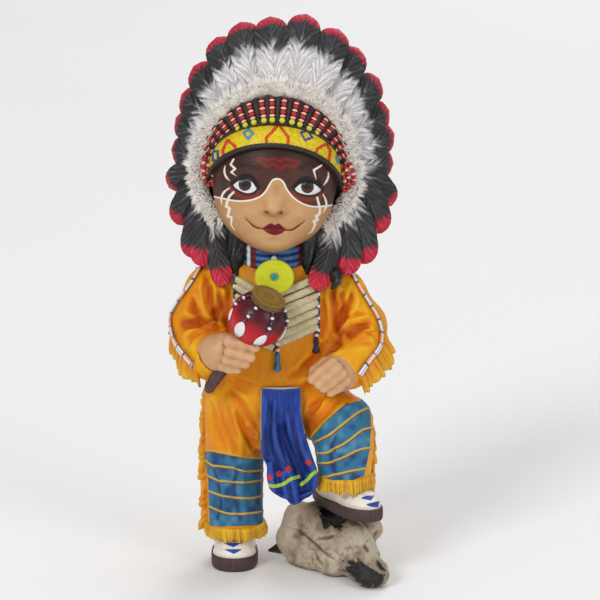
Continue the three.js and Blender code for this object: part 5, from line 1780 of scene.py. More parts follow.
chest = {
    "middle": -9.2, "left": -23.3, "right": 6.4, "top": 108.0, "pitch": 2.95, "rows": 7, "fall": (6.8, 5.6),
    "bone": rgb(210, 200, 160), "boneDark": rgb(140, 124, 86), "gap": rgb(36, 26, 20),
    "thread": rgb(70, 84, 110),
    "collarBlue": rgb(44, 98, 160), "collarDark": rgb(24, 34, 78), "maroon": rgb(96, 30, 36),
    "white": rgb(226, 222, 218),
    "lime": rgb(216, 228, 14), "limeDark": rgb(150, 156, 6), "amber": rgb(226, 188, 10),
    "teal": rgb(40, 128, 166),
    "tassel": rgb(42, 112, 150), "tasselDark": rgb(38, 30, 62),
}


def chestDepth(x, z):
    return 0.3 - (15.4 + (103 - z) * 0.07) * np.sqrt(np.maximum(0.1, 1 - ((x + 9.2) / 25) ** 2))


def chestForm(x, z, lift):
    return np.stack([x, chestDepth(x, z) - lift, z], axis=-1)


def makeChest():
    c = chest
    pipes, cords = [], []
    x = np.linspace(c["left"], c["right"], 60)
    fall = np.where(x < c["middle"], c["fall"][0], c["fall"][1])
    span = np.where(x < c["middle"], c["middle"] - c["left"], c["right"] - c["middle"])
    t = np.linspace(0, 1, 26)[:, None]
    z = c["top"] + 0.6 - fall * (1 - np.abs(x - c["middle"]) / span) - t * (c["rows"] * c["pitch"] - 0.9)
    # a dark sheet behind the pipes, a painted shade in the gaps between them
    backing = sheetForm(chestForm(x[None] + 0 * z, z, 0.35 + 0 * z))
    backing = join([painted(outwardsFront(backing), c["gap"])])
    for row in range(c["rows"]):
        for side, outer in ((0, c["left"]), (1, c["right"])):
            inner = c["middle"] + (0.25 if side else -0.25)
            s = np.linspace(0, 1, 22)
            xs = outer + (inner - outer) * s
            zs = c["top"] - row * c["pitch"] - c["fall"][side] * s + 0.25 * math.sin(row * 2.1 + side)
            radius = 1.4 if row < 3 else 1.56
            form = rod(chestForm(xs, zs, 0.8), radius * (0.82 + 0.18 * np.sin(math.pi * s) ** 0.4), 12, 0.8,
                       relief=lambda turn, along: 0.05 * np.sin(31 * along + 3 * turn))
            # each pipe is painted lighter where it faces the front and darker round its sides, a painted
            # highlight and painted shade, with random wear
            wear = grain(form.points, 1.0, row)
            front = ease(0.2, -0.5, form.normals()[:, 1])
            form.values["paint"] = mix(c["boneDark"], c["bone"], np.clip(front * (0.8 + 0.3 * wear), 0, 1))
            pipes.append(form)
    for xEdge, top, bottom in ((c["left"] - 0.2, c["top"] + 1.2, 88.6),
                               (c["right"] + 0.3, c["top"] - 2.4, 88.2)):
        for k in range(17):
            zk = top + (bottom - top) * k / 16
            at = chestForm(np.array(xEdge), np.array(zk), 1.5)
            tint = (c["thread"], c["gap"], c["thread"], c["white"])[k % 4]
            cords.append(painted(bead(at, (0.56, 0.56, 0.85), (0, 0, 1), 8, 6), tint))
    for xk, top, length, tint in ((-8.1, 82.4, 7.4, c["tassel"]), (5.8, 87.0, 6.2, c["tasselDark"]),
                                  (-23.0, 87.0, 6.2, c["tassel"])):
        s = np.linspace(0, 1, 12)
        radii = np.interp(s, (0, 0.15, 0.35, 0.5, 0.85, 0.95, 1), (0.4, 0.95, 0.9, 0.75, 1.45, 1.35, 0.3))
        line = np.stack([xk + 0 * s, np.full(12, 0.0), top - length * s], axis=-1)
        line[:, 1] = chestDepth(line[:, 0], line[:, 2]) - 1.2
        form = rod(line, radii, 12, 0.9, relief=lambda turn,
                   along: 0.09 * np.sin(6 * turn) * np.sin(math.pi * along))
        ridge = grain(form.points * (1, 1, 0.2), 0.5, 3)
        form.values["paint"] = mix(tint, c["tasselDark"], ease(0.1, 0.7, ridge))
        cords.append(form)
        for k in range(3):
            at = line[0] + np.array([0.2 * (-1) ** k, -0.1, 0.5 + 1.1 * k])
            cords.append(painted(bead(at, (0.75, 0.75, 0.6), (0, 0, 1), 8, 6),
                                 (c["white"], c["maroon"], c["white"])[k]))
    makePiece("breastPlate", join([backing] + pipes),
              resinFinish("bonePipePaint", {"rough": 0.45, "mottle": 0.14, "grain": 0.15, "speck": 0.25}))
    makePiece("breastCords", join(cords), resinFinish("cordPaint", {"rough": 0.4, "mottle": 0.12}))
    # the collar: three rolls of blue beads with a strap at each side
    turn = np.linspace(0, 2 * math.pi, 241)[:-1]
    z = np.linspace(112.2, 119.4, 40)
    around, level = np.meshgrid(turn, z, indexing="xy")
    t = (level - 112.2) / 7.2
    roll = np.abs(np.sin(t * math.pi * 3.0))
    radius = 11.6 - 1.3 * t + 0.75 * roll ** 0.7 + 0.06 * np.sin(around * 90) * roll
    drop = -0.9 * np.clip(-np.sin(around), 0, 1)
    grid = np.stack([-9.5 + radius * np.cos(around), -1.6 + radius * np.sin(around), level + drop], axis=-1)
    form = outward(sheetForm(grid, closedAcross=True, caps=True))
    roll = np.concatenate([roll.ravel(), [0, 0]])
    spots = seen(form.points)
    # the rolls are darker in the grooves between them, a painted shade
    colour = mix(c["collarDark"], c["collarBlue"], ease(0.35, 0.75, roll))
    colour = mix(colour, rgb(96, 150, 200), 0.45 * ease(0.2, 0.8, grain(form.points, 0.8, 2)) * roll)
    colour = mix(colour, c["maroon"], ease(1.9, 1.1, np.abs(spots[:, 0] - 252.0) * pixel))
    colour = mix(colour, c["white"], ease(0.75, 0.35, np.abs(spots[:, 0] - 248.6) * pixel))
    colour = mix(colour, c["maroon"], ease(1.3, 0.7, np.abs(spots[:, 0] - 300.6) * pixel))
    colour = mix(colour, c["white"], 0.7 * ease(0.5, 0.2, np.abs(spots[:, 0] - 303.4) * pixel))
    form.values["paint"] = colour
    knot = painted(bead((-9.3, -13.0, 114.9), (1.5, 1.1, 1.1), (1, 0, 0), 12, 8), c["white"])
    makePiece("collar", join([form, knot]), resinFinish("collarPaint", {"rough": 0.4, "mottle": 0.1}))
    makeMedallion()


def makeMedallion():
    # a round of beads in rings, with a teal button in the middle
    c = chest
    centre, lean, radius = np.array([-9.1, -16.8, 109.2]), -0.3, 7.05
    rings, columns = int(52 / carver["fine"]), int(260 / carver["fine"])
    r = np.linspace(radius, 0.02, rings)
    turn = np.linspace(0, 2 * math.pi, columns, endpoint=False)
    around, reach = np.meshgrid(turn, r, indexing="xy")
    ring = reach / 0.64
    count = np.maximum(np.round(2 * math.pi * (np.floor(ring) + 0.5) * 0.64 / 0.7), 3)
    u = around / (2 * math.pi) * count + 0.37 * np.floor(ring)
    dome = np.sqrt(np.clip(1 - ((u - np.floor(u) - 0.5) / 0.55) ** 2
                           - ((ring - np.floor(ring) - 0.5) / 0.55) ** 2, 0, 1))
    pick = scatter(np.stack([np.floor(u) % count, np.floor(ring), 0 * u], axis=-1).astype(np.int64), 4)
    button = ease(1.3, 1.05, reach)
    proud = 0.24 * dome * (1 - button) + 0.5 * np.sqrt(np.clip(1 - (reach / 1.25) ** 2, 0,
                                                               1)) * button - 0.2 * np.exp(-((reach
                                                                       - 1.55) / 0.2) ** 2)
    rise = 0.75 * (1 - (reach / radius) ** 2) + proud
    rise = rise - 0.8 * ease(radius - 0.55, radius, reach)
    front = np.stack([reach * np.cos(around), -1.3 - rise, 0.9 * reach * np.sin(around)], axis=-1)
    backReach = np.array([0.1, 0.99, 1.0])[:, None] * radius * np.ones(columns)
    backDepth = np.array([1.2, 1.2, 0.4])[:, None] * np.ones(columns)
    backGrid = np.stack([backReach * np.cos(turn), backDepth, 0.9 * backReach * np.sin(turn)], axis=-1)
    form = outward(sheetForm(np.concatenate([backGrid, front]), closedAcross=True, caps=True))
    colour = mix(c["lime"] * np.ones(3), c["amber"], (pick > 0.7) * 0.4)
    # each bead is darker down its sides and between beads, and a dark ring fills the groove round the button, a
    # painted shade
    colour = mix(colour, c["limeDark"], 0.65 * (1 - dome))
    colour = mix(colour, c["teal"], button)
    colour = mix(colour, rgb(60, 66, 20), 0.8 * np.exp(-((reach - 1.5) / 0.2) ** 2))
    flat = np.vstack([np.tile(c["limeDark"], (3 * columns, 1)), colour.reshape(-1, 3)])
    form.values["paint"] = np.vstack([flat, flat[:1], flat[-1:]])
    co, si = math.cos(lean), math.sin(lean)
    p = form.points
    form.points = np.stack([p[:, 0], p[:, 1] * co - p[:, 2] * si, p[:, 2] * co + p[:, 1] * si],
                           axis=1) + centre
    makePiece("medallion", form,
              resinFinish("medallionPaint", {"rough": 0.34, "mottle": 0.05, "grain": 0.06}))


# Hands

hands = {
    "skin": rgb(202, 154, 110), "crease": rgb(142, 92, 54), "light": rgb(222, 182, 138),
    # each finger as pixels from knuckle to tip, with its depth at both ends and its radius
    "holding": [([(230, 341.5), (243, 344.5), (254.6, 347.2)], (-29.2, -31.6), 2.15),
                ([(230, 351.5), (242, 354.5), (250.6, 357.4)], (-30.0, -32.6), 2.0),
                ([(227, 359.6), (238, 362.4), (245.4, 364.2)], (-29.4, -31.8), 1.85),
                ([(222, 366.0), (230, 368.6), (237.4, 369.6)], (-28.0, -30.2), 1.7)],
    "resting": [([(333, 363), (321, 372.5), (312.4, 379.6)], (-24.6, -27.2), 1.95),
                ([(337.5, 368), (327, 377.5), (318.8, 384.2)], (-25.6, -28.2), 1.95),
                ([(342, 373.5), (331.5, 382.5), (323.8, 388.4)], (-25.4, -28.0), 1.85),
                ([(346, 379.5), (337.5, 387.5), (330.6, 392.6)], (-24.2, -26.8), 1.8)],
}


def fingers(clay, rows):
    for spots, depths, radius in rows:
        line = atDepth(np.asarray(spots, float), np.linspace(depths[0], depths[1], len(spots)))
        clay.add(limb(line, [radius * 1.12, radius * 1.04, radius * 0.92]), 0.55)


def makeHands():
    left = Clay((-41, -36, 71), (-11, -8, 95), 0.42)
    left.add(limb([(-36, -13, 81), (-29.6, -21, 83)], [4.8, 6.6]), 1)
    left.add(lump((-26.6, -23.2, 83.2), (7.0, 6.2, 7.0)), 2.5)
    fingers(left, hands["holding"])
    left.add(limb([(-27, -25, 88), (-22, -27.6, 88.6), (-17.4, -28.2, 87.6)], [2.6, 2.3, 1.9]), 1.2)
    right = Clay((1, -33, 62), (27, -6, 87), 0.42)
    right.add(limb([(20.4, -9.5, 78.5), (14.6, -17, 75.4)], [5.2, 6.8]), 1)
    right.add(lump((13.2, -19.4, 74.6), (7.4, 6.6, 6.6)), 2.5)
    fingers(right, hands["resting"])
    right.add(limb([(9, -21, 79), (5.4, -23.4, 76.4), (4.2, -24.0, 73.4)], [2.2, 2.0, 1.6]), 1.2)
    forms = []
    for clay in (left, right):
        form = clay.skin().soften(1, 0.4)
        hollow = form.hollows(7)
        warm = grain(form.points, 5, 3)
        # lighter on the rounded parts, a painted highlight, and the crease colour in the hollows, a painted
        # shade, with random warm patches
        colour = mix(hands["skin"], hands["light"], 0.5 * ease(-0.02, -0.14, hollow))
        colour = mix(colour, hands["crease"], 0.8 * ease(0.03, 0.2, hollow))
        form.values["paint"] = mix(colour, hands["crease"], 0.15 * ease(0, 0.8, warm))
        forms.append(form)
    makePiece("hands", join(forms), resinFinish("handPaint", {"rough": 0.4, "mottle": 0.06, "grain": 0.08}))


# Rattle: a gourd hung with beads and feathers, a wooden disc on top and a stick through it

rattle = {
    "ball": (-15.0, -28.2, 96.6), "radius": 10.2, "discWay": (0.407, -0.33, 0.849), "discRadius": 6.3,
    "discThick": 2.4,
    "stick": [(-33.2, -22.3, 68.6), (-30.6, -23.2, 73), (-26.4, -24.6, 80), (-20, -27, 91)],
    "stickRadii": [1.7, 2.3, 3.0, 3.3, 3.0],
    "red": rgb(190, 16, 34), "maroon": rgb(88, 12, 28), "dark": rgb(46, 8, 18), "wood": rgb(150, 116, 54),
    "woodDark": rgb(92, 66, 28), "woodRim": rgb(196, 160, 90), "stickTint": rgb(86, 60, 58),
    "stickDark": rgb(52, 36, 38),
    "white": rgb(232, 230, 232), "violet": rgb(96, 86, 120), "ash": rgb(60, 58, 66),
    "strings": [([(259, 292.5), (249.5, 295.4), (239.4, 300.2), (233, 307)],
                 [(232.4, 308.5), (230.2, 314), (228.6, 321.5)], 0.85),
                ([(260, 303), (253.3, 311.4), (246.8, 318.1), (243.6, 322)],
                 [(243, 322.5), (239.6, 329.5), (235.6, 336.5)], 1.9),
                ([(272.6, 312), (272.3, 319.1), (270.6, 325.6), (268.6, 330.6), (266.6, 335)],
                 [(266, 335.6), (260.8, 340.6), (254.2, 346.2)], 1.6)],
}


def onBall(spots, centre, radius):
    eye, way = sightLines(spots)
    to = np.asarray(centre) - eye
    along = way @ to
    miss = np.sum((to - way * along[:, None]) ** 2, axis=1)
    at = eye + way * (along - np.sqrt(np.maximum(radius ** 2 - miss, 0)))[:, None]
    return np.asarray(centre) + unit(at - centre) * radius


def spun(points, centre, axis, angle):
    axis = unit(np.asarray(axis, float))
    p = points - centre
    return centre + p * math.cos(angle) + np.cross(axis, p) * math.sin(angle) + axis * (p @ axis)[:,
            None] * (1 - math.cos(angle))


def makeRattle():
    r = rattle
    centre, way = np.array(r["ball"]), unit(np.array(r["discWay"]))
    form = bead(centre, (r["radius"], r["radius"], r["radius"] * 0.98), way, 72, 48)
    rel = unit(form.points - centre)
    form.points += rel * (0.12 * grain(form.points, 4, 2))[:, None]
    tone = rel @ way + 0.28 * grain(form.points, 5, 6) + 0.25 * rel[:, 0]
    colour = mix(r["red"], r["maroon"], ease(-0.15, 0.6, tone))
    colour = mix(colour, r["dark"], 0.75 * ease(0.35, 0.95, tone))
    form.values["paint"] = colour
    makePiece("gourd", form, resinFinish("gourdPaint",
            {"rough": 0.36, "shine": 0.3, "mottle": 0.12, "mottleSize": 3.5, "coat": 0.12, "grain": 0.05}))
    beads = []
    turns = [(0, 0.0), (1, 0.0), (2, 0.0), (1, 2.0), (2, 2.0), (1, 3.4), (0, -1.35)]
    for index, angle in turns:
        line, leaf, half = r["strings"][index]
        half = max(half, 1.6) if angle else half
        path = spun(onBall(smoothLine(line, 60), centre, r["radius"] + 0.35), centre, way, angle)
        run = np.linalg.norm(np.diff(path, axis=0), axis=1).sum()
        count = max(int(run / 0.92), 3)
        for k in range(count):
            place = int((k + 0.5) / count * 59)
            step = path[min(place + 1, 59)] - path[place]
            big = k % 4 == 2
            halves = (0.72, 0.72, 0.55) if big else (0.5, 0.5, 0.5)
            tint = r["white"] if big else (r["violet"], r["ash"])[k % 2]
            beads.append(painted(bead(path[place], halves, step, 10, 7), tint))
        path = spun(onBall(smoothLine(leaf, 22), centre, r["radius"] + 0.25), centre, way, angle)
        s = np.linspace(0, 1, 22)
        form = rod(path, 0.18 + half * np.sin(math.pi * np.clip(s * 0.92 + 0.04, 0, 1)) ** 0.8, 16, 0.3,
                   unit(path - centre))
        tip = np.concatenate([np.repeat(s, 16), [0, 1]])
        colour = mix(r["white"], r["ash"], ease(0.68, 0.95, tip + 0.12 * grain(form.points, 0.7, index)))
        form.values["paint"] = colour
        beads.append(form)
    makePiece("rattleStrings", join(beads),
              resinFinish("rattleBeadPaint", {"rough": 0.35, "mottle": 0.12, "grain": 0.15}))
    makeDisc(centre + way * (r["radius"] - 0.9), way)
    s = np.linspace(0, 1, 40)
    form = rod(smoothLine(r["stick"], 40),
               np.interp(s, np.linspace(0, 1, 5), r["stickRadii"]) * (1 - np.exp(-s * 40) * 0.5), 28,
               relief=lambda turn, along: 0.05 * np.sin(9 * turn + 3 * along) + 0.04
               * np.sin(40 * along + turn))
    wear = grain(form.points * (1, 1, 0.4), 0.9, 7)
    form.values["paint"] = mix(r["stickTint"], r["stickDark"], ease(-0.2, 0.8, wear))
    makePiece("rattleStick", form, resinFinish("stickPaint", {"rough": 0.4, "mottle": 0.15, "grain": 0.2}))


def makeDisc(centre, way):
    # turned wood: a cylinder, bevelled, with a turned groove and a small peg in the middle
    r = rattle
    bpy.ops.object.select_all(action="DESELECT")
    bpy.ops.mesh.primitive_cylinder_add(vertices=96, radius=r["discRadius"], depth=r["discThick"])
    disc = bpy.context.object
    bpy.ops.object.mode_set(mode="EDIT")
    bpy.ops.mesh.select_all(action="SELECT")
    bpy.ops.mesh.bevel(offset=0.35, segments=3)
    bpy.ops.mesh.select_all(action="DESELECT")
    bpy.ops.object.mode_set(mode="OBJECT")
    for polygon in disc.data.polygons:
        polygon.select = polygon.normal.z > 0.9 and polygon.area > 20
    bpy.ops.object.mode_set(mode="EDIT")
    for thickness, depth in ((0.5, 0), (0.35, -0.12), (1.6, 0.06), (0.3, -0.1), (1.5, 0.05), (0.3, -0.08),
                             (0.7, 0.3)):
        bpy.ops.mesh.inset(thickness=thickness, depth=depth)
    bpy.ops.object.mode_set(mode="OBJECT")
    points = np.array([v.co for v in disc.data.vertices])
    faces = [list(p.vertices) for p in disc.data.polygons]
    data = disc.data
    bpy.data.objects.remove(disc)
    bpy.data.meshes.remove(data)
    quads = [f for f in faces if len(f) == 4]
    tris = [f for f in faces if len(f) == 3] + [[f[0], f[k],
                                                 f[k + 1]] for f in faces if len(f) > 4 for k in range(1,
                                                         len(f) - 1)]
    form = Form(points, quads, tris)
    across = unit(np.cross(way, np.array([0, 1.0, 0])))
    deep = np.cross(way, across)
    ring = np.hypot(points[:, 0], points[:, 1])
    form.points = centre + points[:, :1] * across + points[:, 1:2] * deep + points[:, 2:3] * way
    form = outward(form)
    grainy = 0.5 + 0.5 * np.sin(ring * 5.2 + 1.5 * grain(form.points, 2, 3))
    colour = mix(r["wood"], r["woodDark"], 0.5 * grainy)
    form.values["paint"] = mix(colour, r["woodRim"], 0.75 * ((points[:, 2] < 0.6) & (ring > 5)))
    makePiece("rattleDisc", form,
              resinFinish("discPaint", {"rough": 0.38, "mottle": 0.25, "mottleSize": 1.2, "grain": 0.2}))


# Breech cloth: laid out on the picture, at a depth that grows towards its foot

cloth = {
    "left": [(261, 387.4), (260.6, 410), (260.4, 440), (261.6, 455.7), (266.4, 466.4), (266.6, 478),
             (269, 489)],
    "right": [(301.2, 387.4), (301.4, 410.2), (305.2, 432.9), (311.9, 455.7), (317.6, 471.8), (318.6, 481),
              (317.2, 488)],
    "foot": [(269, 489), (273, 493.4), (281, 498.4), (286.4, 500.4), (290, 504.4), (295.4, 505.8),
             (301.6, 502),
             (305.4, 499.4), (311, 496.4), (317.2, 488)],
    "depth": [(-19.2, 0.0), (-20.0, 0.15), (-21.2, 0.4), (-24.6, 0.7), (-26.4, 0.9), (-25.2, 1.0)],
    "thick": 2.0,
    "folds": [[(282.4, 412), (283.7, 430.3), (289, 448), (296, 464), (301.6, 479), (303.6, 500)]],
    "smallFolds": [[(271, 392), (270.6, 420), (272.6, 446), (279, 470)],
                   [(277.6, 400), (277, 426), (281, 450), (286, 466)],
                   [(291, 408), (293, 430), (299, 452), (307, 470)], [(266, 420), (266.4, 440), (268.4, 458)],
                   [(273, 462), (277, 476), (281, 494)], [(286, 476), (289, 488), (293, 502)],
                   [(309, 470), (311, 480), (310, 494)]],
    "blue": rgb(18, 56, 142), "dark": rgb(10, 18, 70), "light": rgb(64, 98, 184), "stripe": rgb(168, 198, 56),
    "dot": rgb(190, 48, 50), "edge": rgb(206, 186, 120),
    "dots": [(269.6, 477.4), (279.2, 473.6), (288.4, 469.0), (308.4, 462.4)],
    "dotSize": 2.8,
    "stripes": [[(267.6, 485.0), (275, 486.2), (283.6, 483.8), (291, 479), (298.6, 476.8)],
                [(301.4, 484.4), (307, 480), (312, 474.6), (317.6, 470.4)]],
}


def makeCloth():
    c = cloth
    rows, columns = int(124 / carver["fine"]), int(52 / carver["fine"])
    v = np.linspace(0, 1, rows)
    left, right, foot = smoothLine(c["left"], rows), smoothLine(c["right"], rows), smoothLine(c["foot"],
            columns)
    u = np.linspace(0, 1, columns)
    plain = left[:, None] * (1 - u[None, :, None]) + right[:, None] * u[None, :, None]
    lift = foot - (left[-1] * (1 - u[:, None]) + right[-1] * u[:, None])
    spots = plain + lift[None] * ease(0.55, 1.0, v)[:, None, None]
    table = np.array(c["depth"])
    depth = np.interp(v, table[:, 1], table[:, 0])[:,
                                                   None] + 3.2 * np.abs(u[None] - 0.5) ** 2 * (0.6
                                                           + v[:, None])
    flat = spots.reshape(-1, 2)
    relief = np.zeros(len(flat))
    inside = np.zeros(len(flat))
    for lines, deep, wide in ((c["folds"], 3.0, 1.6), (c["smallFolds"], 1.3, 1.0)):
        for line in lines:
            gap = np.maximum(strokeGap(flat, smoothLine(line, 30), [-0.6, 0.1, 0.2, 0.3]), 0) / wide
            opening = ease(-4, 18, flat[:, 1] - line[0][1])
            relief += deep * opening * (np.exp(-gap ** 2) - 0.4 * np.exp(-((gap - 2) / 0.9) ** 2))
            inside = np.maximum(inside, opening * np.exp(-(gap * 0.8) ** 2) * min(deep, 1.4) / 1.4)
    front = atDepth(spots, depth + relief.reshape(rows, columns))
    edge = ease(0, 0.06, u) * ease(1, 0.94, u)
    thick = (c["thick"] * (0.45 + 0.55 * edge[None]) + 1.4 * ease(0.4, 0.9, v)[:, None]) * ease(1.0, 0.985,
            v)[:, None] + 0.5
    back = front + np.array([0, 1.0, 0]) * (thick - 0.6 * relief.reshape(rows, columns))[..., None]
    grid = np.concatenate([front, back[:, ::-1]], axis=1)
    form = outward(sheetForm(grid, closedAcross=True, caps=True))
    form.soften(2, 0.4)
    spots = seen(form.points)
    inside = np.concatenate([inside.reshape(rows, columns), inside.reshape(rows, columns)[:, ::-1]],
                            axis=1).ravel()
    inside = np.concatenate([inside, [0, 0]])
    streak = grain(form.points * (1.6, 1.0, 0.28), 1.3, 14)
    colour = mix(c["blue"], c["light"], 0.42 * ease(0.25, 0.85, streak))
    colour = mix(colour, c["dark"], 0.55 * ease(-0.1, -0.75, streak))
    # dark in the folds, a painted shade, and lighter on the raised parts, a painted highlight
    colour = mix(colour, c["dark"], 0.65 * ease(0.3, 1.0, inside))
    colour = mix(colour, c["light"], 0.35 * ease(-0.03, -0.16, form.hollows(8)))
    form.values["paint"] = colour
    values = form.values
    values["dotGap"] = np.min([np.abs(spots - d).sum(1) * pixel * 0.75 - c["dotSize"]
                               * pixel for d in c["dots"]], axis=0)
    values["stripeGap"] = np.min([strokeGap(spots, smoothLine(line, 20), [0.62]) for line in c["stripes"]],
                                 axis=0)
    top = strokeGap(spots, [(260, 387.4), (282, 388.4), (302, 387)], [0.3])
    side = np.minimum(strokeGap(spots, c["left"][:3], [0.22]), strokeGap(spots, c["right"][:3], [0.22]))
    values["edgeGap"] = np.minimum(top, side)
    layers = (("edgeGap", c["edge"]), ("dotGap", c["dot"]), ("stripeGap", c["stripe"]))
    makePiece("breechCloth", form,
              resinFinish("clothPaint", {"rough": 0.5, "shine": 0.3, "mottle": 0.14, "strokes": layers}))


# Moccasins

shoes = {
    # the middle of each sole, its height, its turn, its share of the width, length and thickness,
    # and where the ankle stands on it
    "standing": (-24.0, -3.4, 0.0, 0.0, (1.0, 1.0, 1.0), (0, 2.2)),
    "raised": (16.9, -11.3, 22.6, 27.0, (0.92, 1.47, 0.88), (-3.0, -2.4)),
    "white": rgb(236, 232, 222), "shade": rgb(176, 164, 146), "blue": rgb(34, 66, 156),
    "sole": rgb(86, 62, 62), "soleDark": rgb(50, 36, 38),
    "halfLong": 14.6, "halfWide": 8.5, "soleHigh": 5.0,
    "marks": [[(222.8, 543.1), (242.2, 542.7), (233.5, 547.3)], [(222.6, 549.1), (243.2, 549.1), (234, 554)],
              [(360, 498.5), (366, 495.6), (375, 495.2), (371, 500.4)],
              [(364.6, 504.3), (379.8, 500.8), (378, 507.2), (371, 507)]],
}


def soleOutline(turn, grow=0.0):
    # egg-shaped plan: narrower at the heel, y towards the toe is negative
    long, wide = shoes["halfLong"] + grow, shoes["halfWide"] + grow
    x = wide * np.sign(np.cos(turn)) * np.abs(np.cos(turn)) ** 0.82
    y = long * np.sign(np.sin(turn)) * np.abs(np.sin(turn)) ** 0.86
    return np.stack([x * (1 - 0.07 * y / long), y], axis=-1)


def makeShoes():
    s = shoes
    uppers, soles = [], []
    for x0, y0, z0, degrees, share, ankle in (s["standing"], s["raised"]):
        turn = np.linspace(0, 2 * math.pi, int(300 / carver["fine"]), endpoint=False)
        groove = np.abs(np.sin(turn * 44 + 0.6 * np.sin(turn * 7)))
        rows = [(0.0, -0.9, 0), (0.0, -0.25, 1), (0.5, 0.0, 1), (2.4, 0.05, 1), (4.4, 0.0, 1),
                (5.0, -0.3, 1), (5.1, -1.2, 0)]
        grid = []
        for z, grow, ribbed in rows:
            rib = 0.16 * groove * ribbed
            outline = soleOutline(turn, grow) - unit(soleOutline(turn)) * rib[:, None]
            grid.append(np.concatenate([outline, np.full((len(turn), 1), z)], axis=1))
        form = outward(sheetForm(np.array(grid), closedAcross=True, caps=True))
        groove = np.concatenate([np.tile(groove, len(rows)), [0, 0]])
        # the sole is darker in the grooves between its ribs, a painted shade
        form.values["paint"] = mix(s["sole"], s["soleDark"], 0.7 * ease(0.35, 1, groove))
        clay = Clay((-10, -16.5, 3.6), (10, 16.5, 17), 0.48)
        clay.add(lump((0, -5.6, 4.6), (7.9, 8.5, 6.3)), 1)
        clay.add(lump((0, 4.6, 4.8), (7.4, 9.0, 7.6)), 3)
        clay.add(loft([4, 13], [0.5 * ankle[0], ankle[0]], [2.4, ankle[1]], [7.2, 7.2], [7.8, 6.4]), 2)
        clay.trim(2, 4.8)
        clay.trim(2, 12.5, keepAbove=False)
        upper = clay.skin()
        co, si = math.cos(math.radians(degrees)), math.sin(math.radians(degrees))
        for piece in (form, upper):
            p = piece.points
            p = np.stack([p[:, 0] * share[0], p[:, 1] * share[1],
                          np.where(p[:, 2] < 5.1, p[:, 2] * share[2], p[:, 2] - 5.1 * (1 - share[2]))],
                          axis=1)
            piece.points = np.stack([p[:, 0] * co - p[:, 1] * si + x0, p[:, 0] * si + p[:, 1] * co + y0,
                                     p[:, 2] + z0], axis=1)
        low = ease(6.4, 4.8, upper.points[:, 2] - z0)
        worn = grain(upper.points, 1.6, 5)
        upper.values["paint"] = mix(s["white"], s["shade"],
                                    np.clip(0.55 * low + 0.3 * ease(0.1, 0.8, worn), 0, 1))
        spots = seen(upper.points)
        marks = np.min([regionGap(spots, mark) for mark in s["marks"]], axis=0)
        upper.values["markGap"] = np.where(facing(upper.normals()) > 0.05, marks, far)
        uppers.append(upper)
        soles.append(form)
    makePiece("moccasins", join(uppers),
              resinFinish("moccasinPaint",
                          {"rough": 0.42, "mottle": 0.05, "strokes": (("markGap", s["blue"]),)}))
    makePiece("soles", join(soles), resinFinish("solePaint", {"rough": 0.55, "mottle": 0.12, "grain": 0.2}))


# Bull skull

skull = {
    # the axis from the back of the head to the nose, as a place and a direction on the ground
    "back": (7.0, 6.0), "nose": (0.45, -0.893),
    "bone": rgb(186, 173, 150), "pale": rgb(208, 197, 176), "brown": rgb(112, 88, 68),
    "black": rgb(30, 27, 28), "horn": rgb(58, 52, 48),
    # each rounded mass: distance along the axis, side, height, then half its length, width and height
    "masses": [(3, 0, 10.5, 9, 14, 10.9), (2, -9, 12.6, 8, 5.8, 9.2), (2, -12.8, 7.6, 6, 5.4, 6.2),
               (2, 12, 10, 6, 5.6, 6.6),
               (14, 0, 12, 12.5, 12.4, 10.6), (13.5, -9.2, 5.2, 9, 6.6, 7.6),
               (8.5, -12.2, 3.8, 7.5, 4.8, 5.4), (24, -6.6, 5.2, 8, 6.0, 7.0), (25, 8.8, 15.4, 5.2, 4.2, 4.6),
               (27, -0.4, 9.2, 11, 8.0, 9.6), (37, -1.6, 6.2, 10.5, 6.8, 6.6),
               (44.2, -1.4, 3.9, 5.7, 6.6, 4.1)],
    # ridges of bone, as places on the same axis, with their radii
    "ridges": [([(8, 3, 22), (22, 1.2, 18.2), (34, 0.6, 12.6), (42, 1.2, 8.2)], [2.4, 2.4, 2.2, 1.6]),
               ([(27, 6.6, 11.6), (35, 4.2, 9), (43, 3.6, 5.8)], [2.2, 2.2, 1.8])],
    "hollows": [(18, -4.6, 23.4, 6.0, 4.6, 2.6), (26.6, 12.6, 17.0, 2.2, 1.8, 2.0),
                (32.5, 8.6, 13.4, 4.4, 2.6, 3.4),
                (40, 5.0, 9.0, 3.6, 1.1, 1.8)],
    "cracks": [([(286, 526.5), (298.2, 530.9), (308.7, 537.9), (317.5, 545.8), (326.2, 553.6),
                 (340.2, 563.2), (343.8, 565)], 0.22),
               ([(314, 539.6), (326.2, 537.9), (336.8, 535.2)], 0.18),
               ([(315.8, 551.9), (317.5, 558), (324.5, 567.6)], 0.16),
               ([(363, 542.3), (367, 549), (368.2, 552)], 0.2), ([(371, 538), (366, 543), (364, 548)], 0.14),
               ([(330, 548), (342, 556), (350, 560)], 0.1), ([(297, 520), (300, 527), (301, 531)], 0.1),
               ([(292, 544), (303, 551), (316, 560)], 0.08), ([(346, 540), (352, 549), (353, 555)], 0.12),
               ([(306, 516), (311, 523), (312, 530)], 0.08), ([(356, 545), (361, 551)], 0.1)],
    "socket": [(318, 506), (320.6, 513), (320.4, 521), (323.6, 529), (328, 527.4), (330.6, 524.8),
               (340.3, 530), (342, 524.8),
               (347.3, 519.5), (338, 512), (326, 505)],
    "nostril": [(342.9, 570.2), (349, 565), (343.8, 560.6), (350.8, 559.8), (356, 561.5), (357.8, 556.3),
                (363, 563.2),
                (378.8, 572), (385.8, 575.5), (384, 580.8), (378.8, 586), (370, 587.8), (361.3, 584.3),
                (352.5, 577.2), (347.3, 573.8)],
    "hole": [(376.4, 560), (380, 562.4), (385, 568.8), (386.2, 571.6), (381, 570), (377.4, 565)],
}


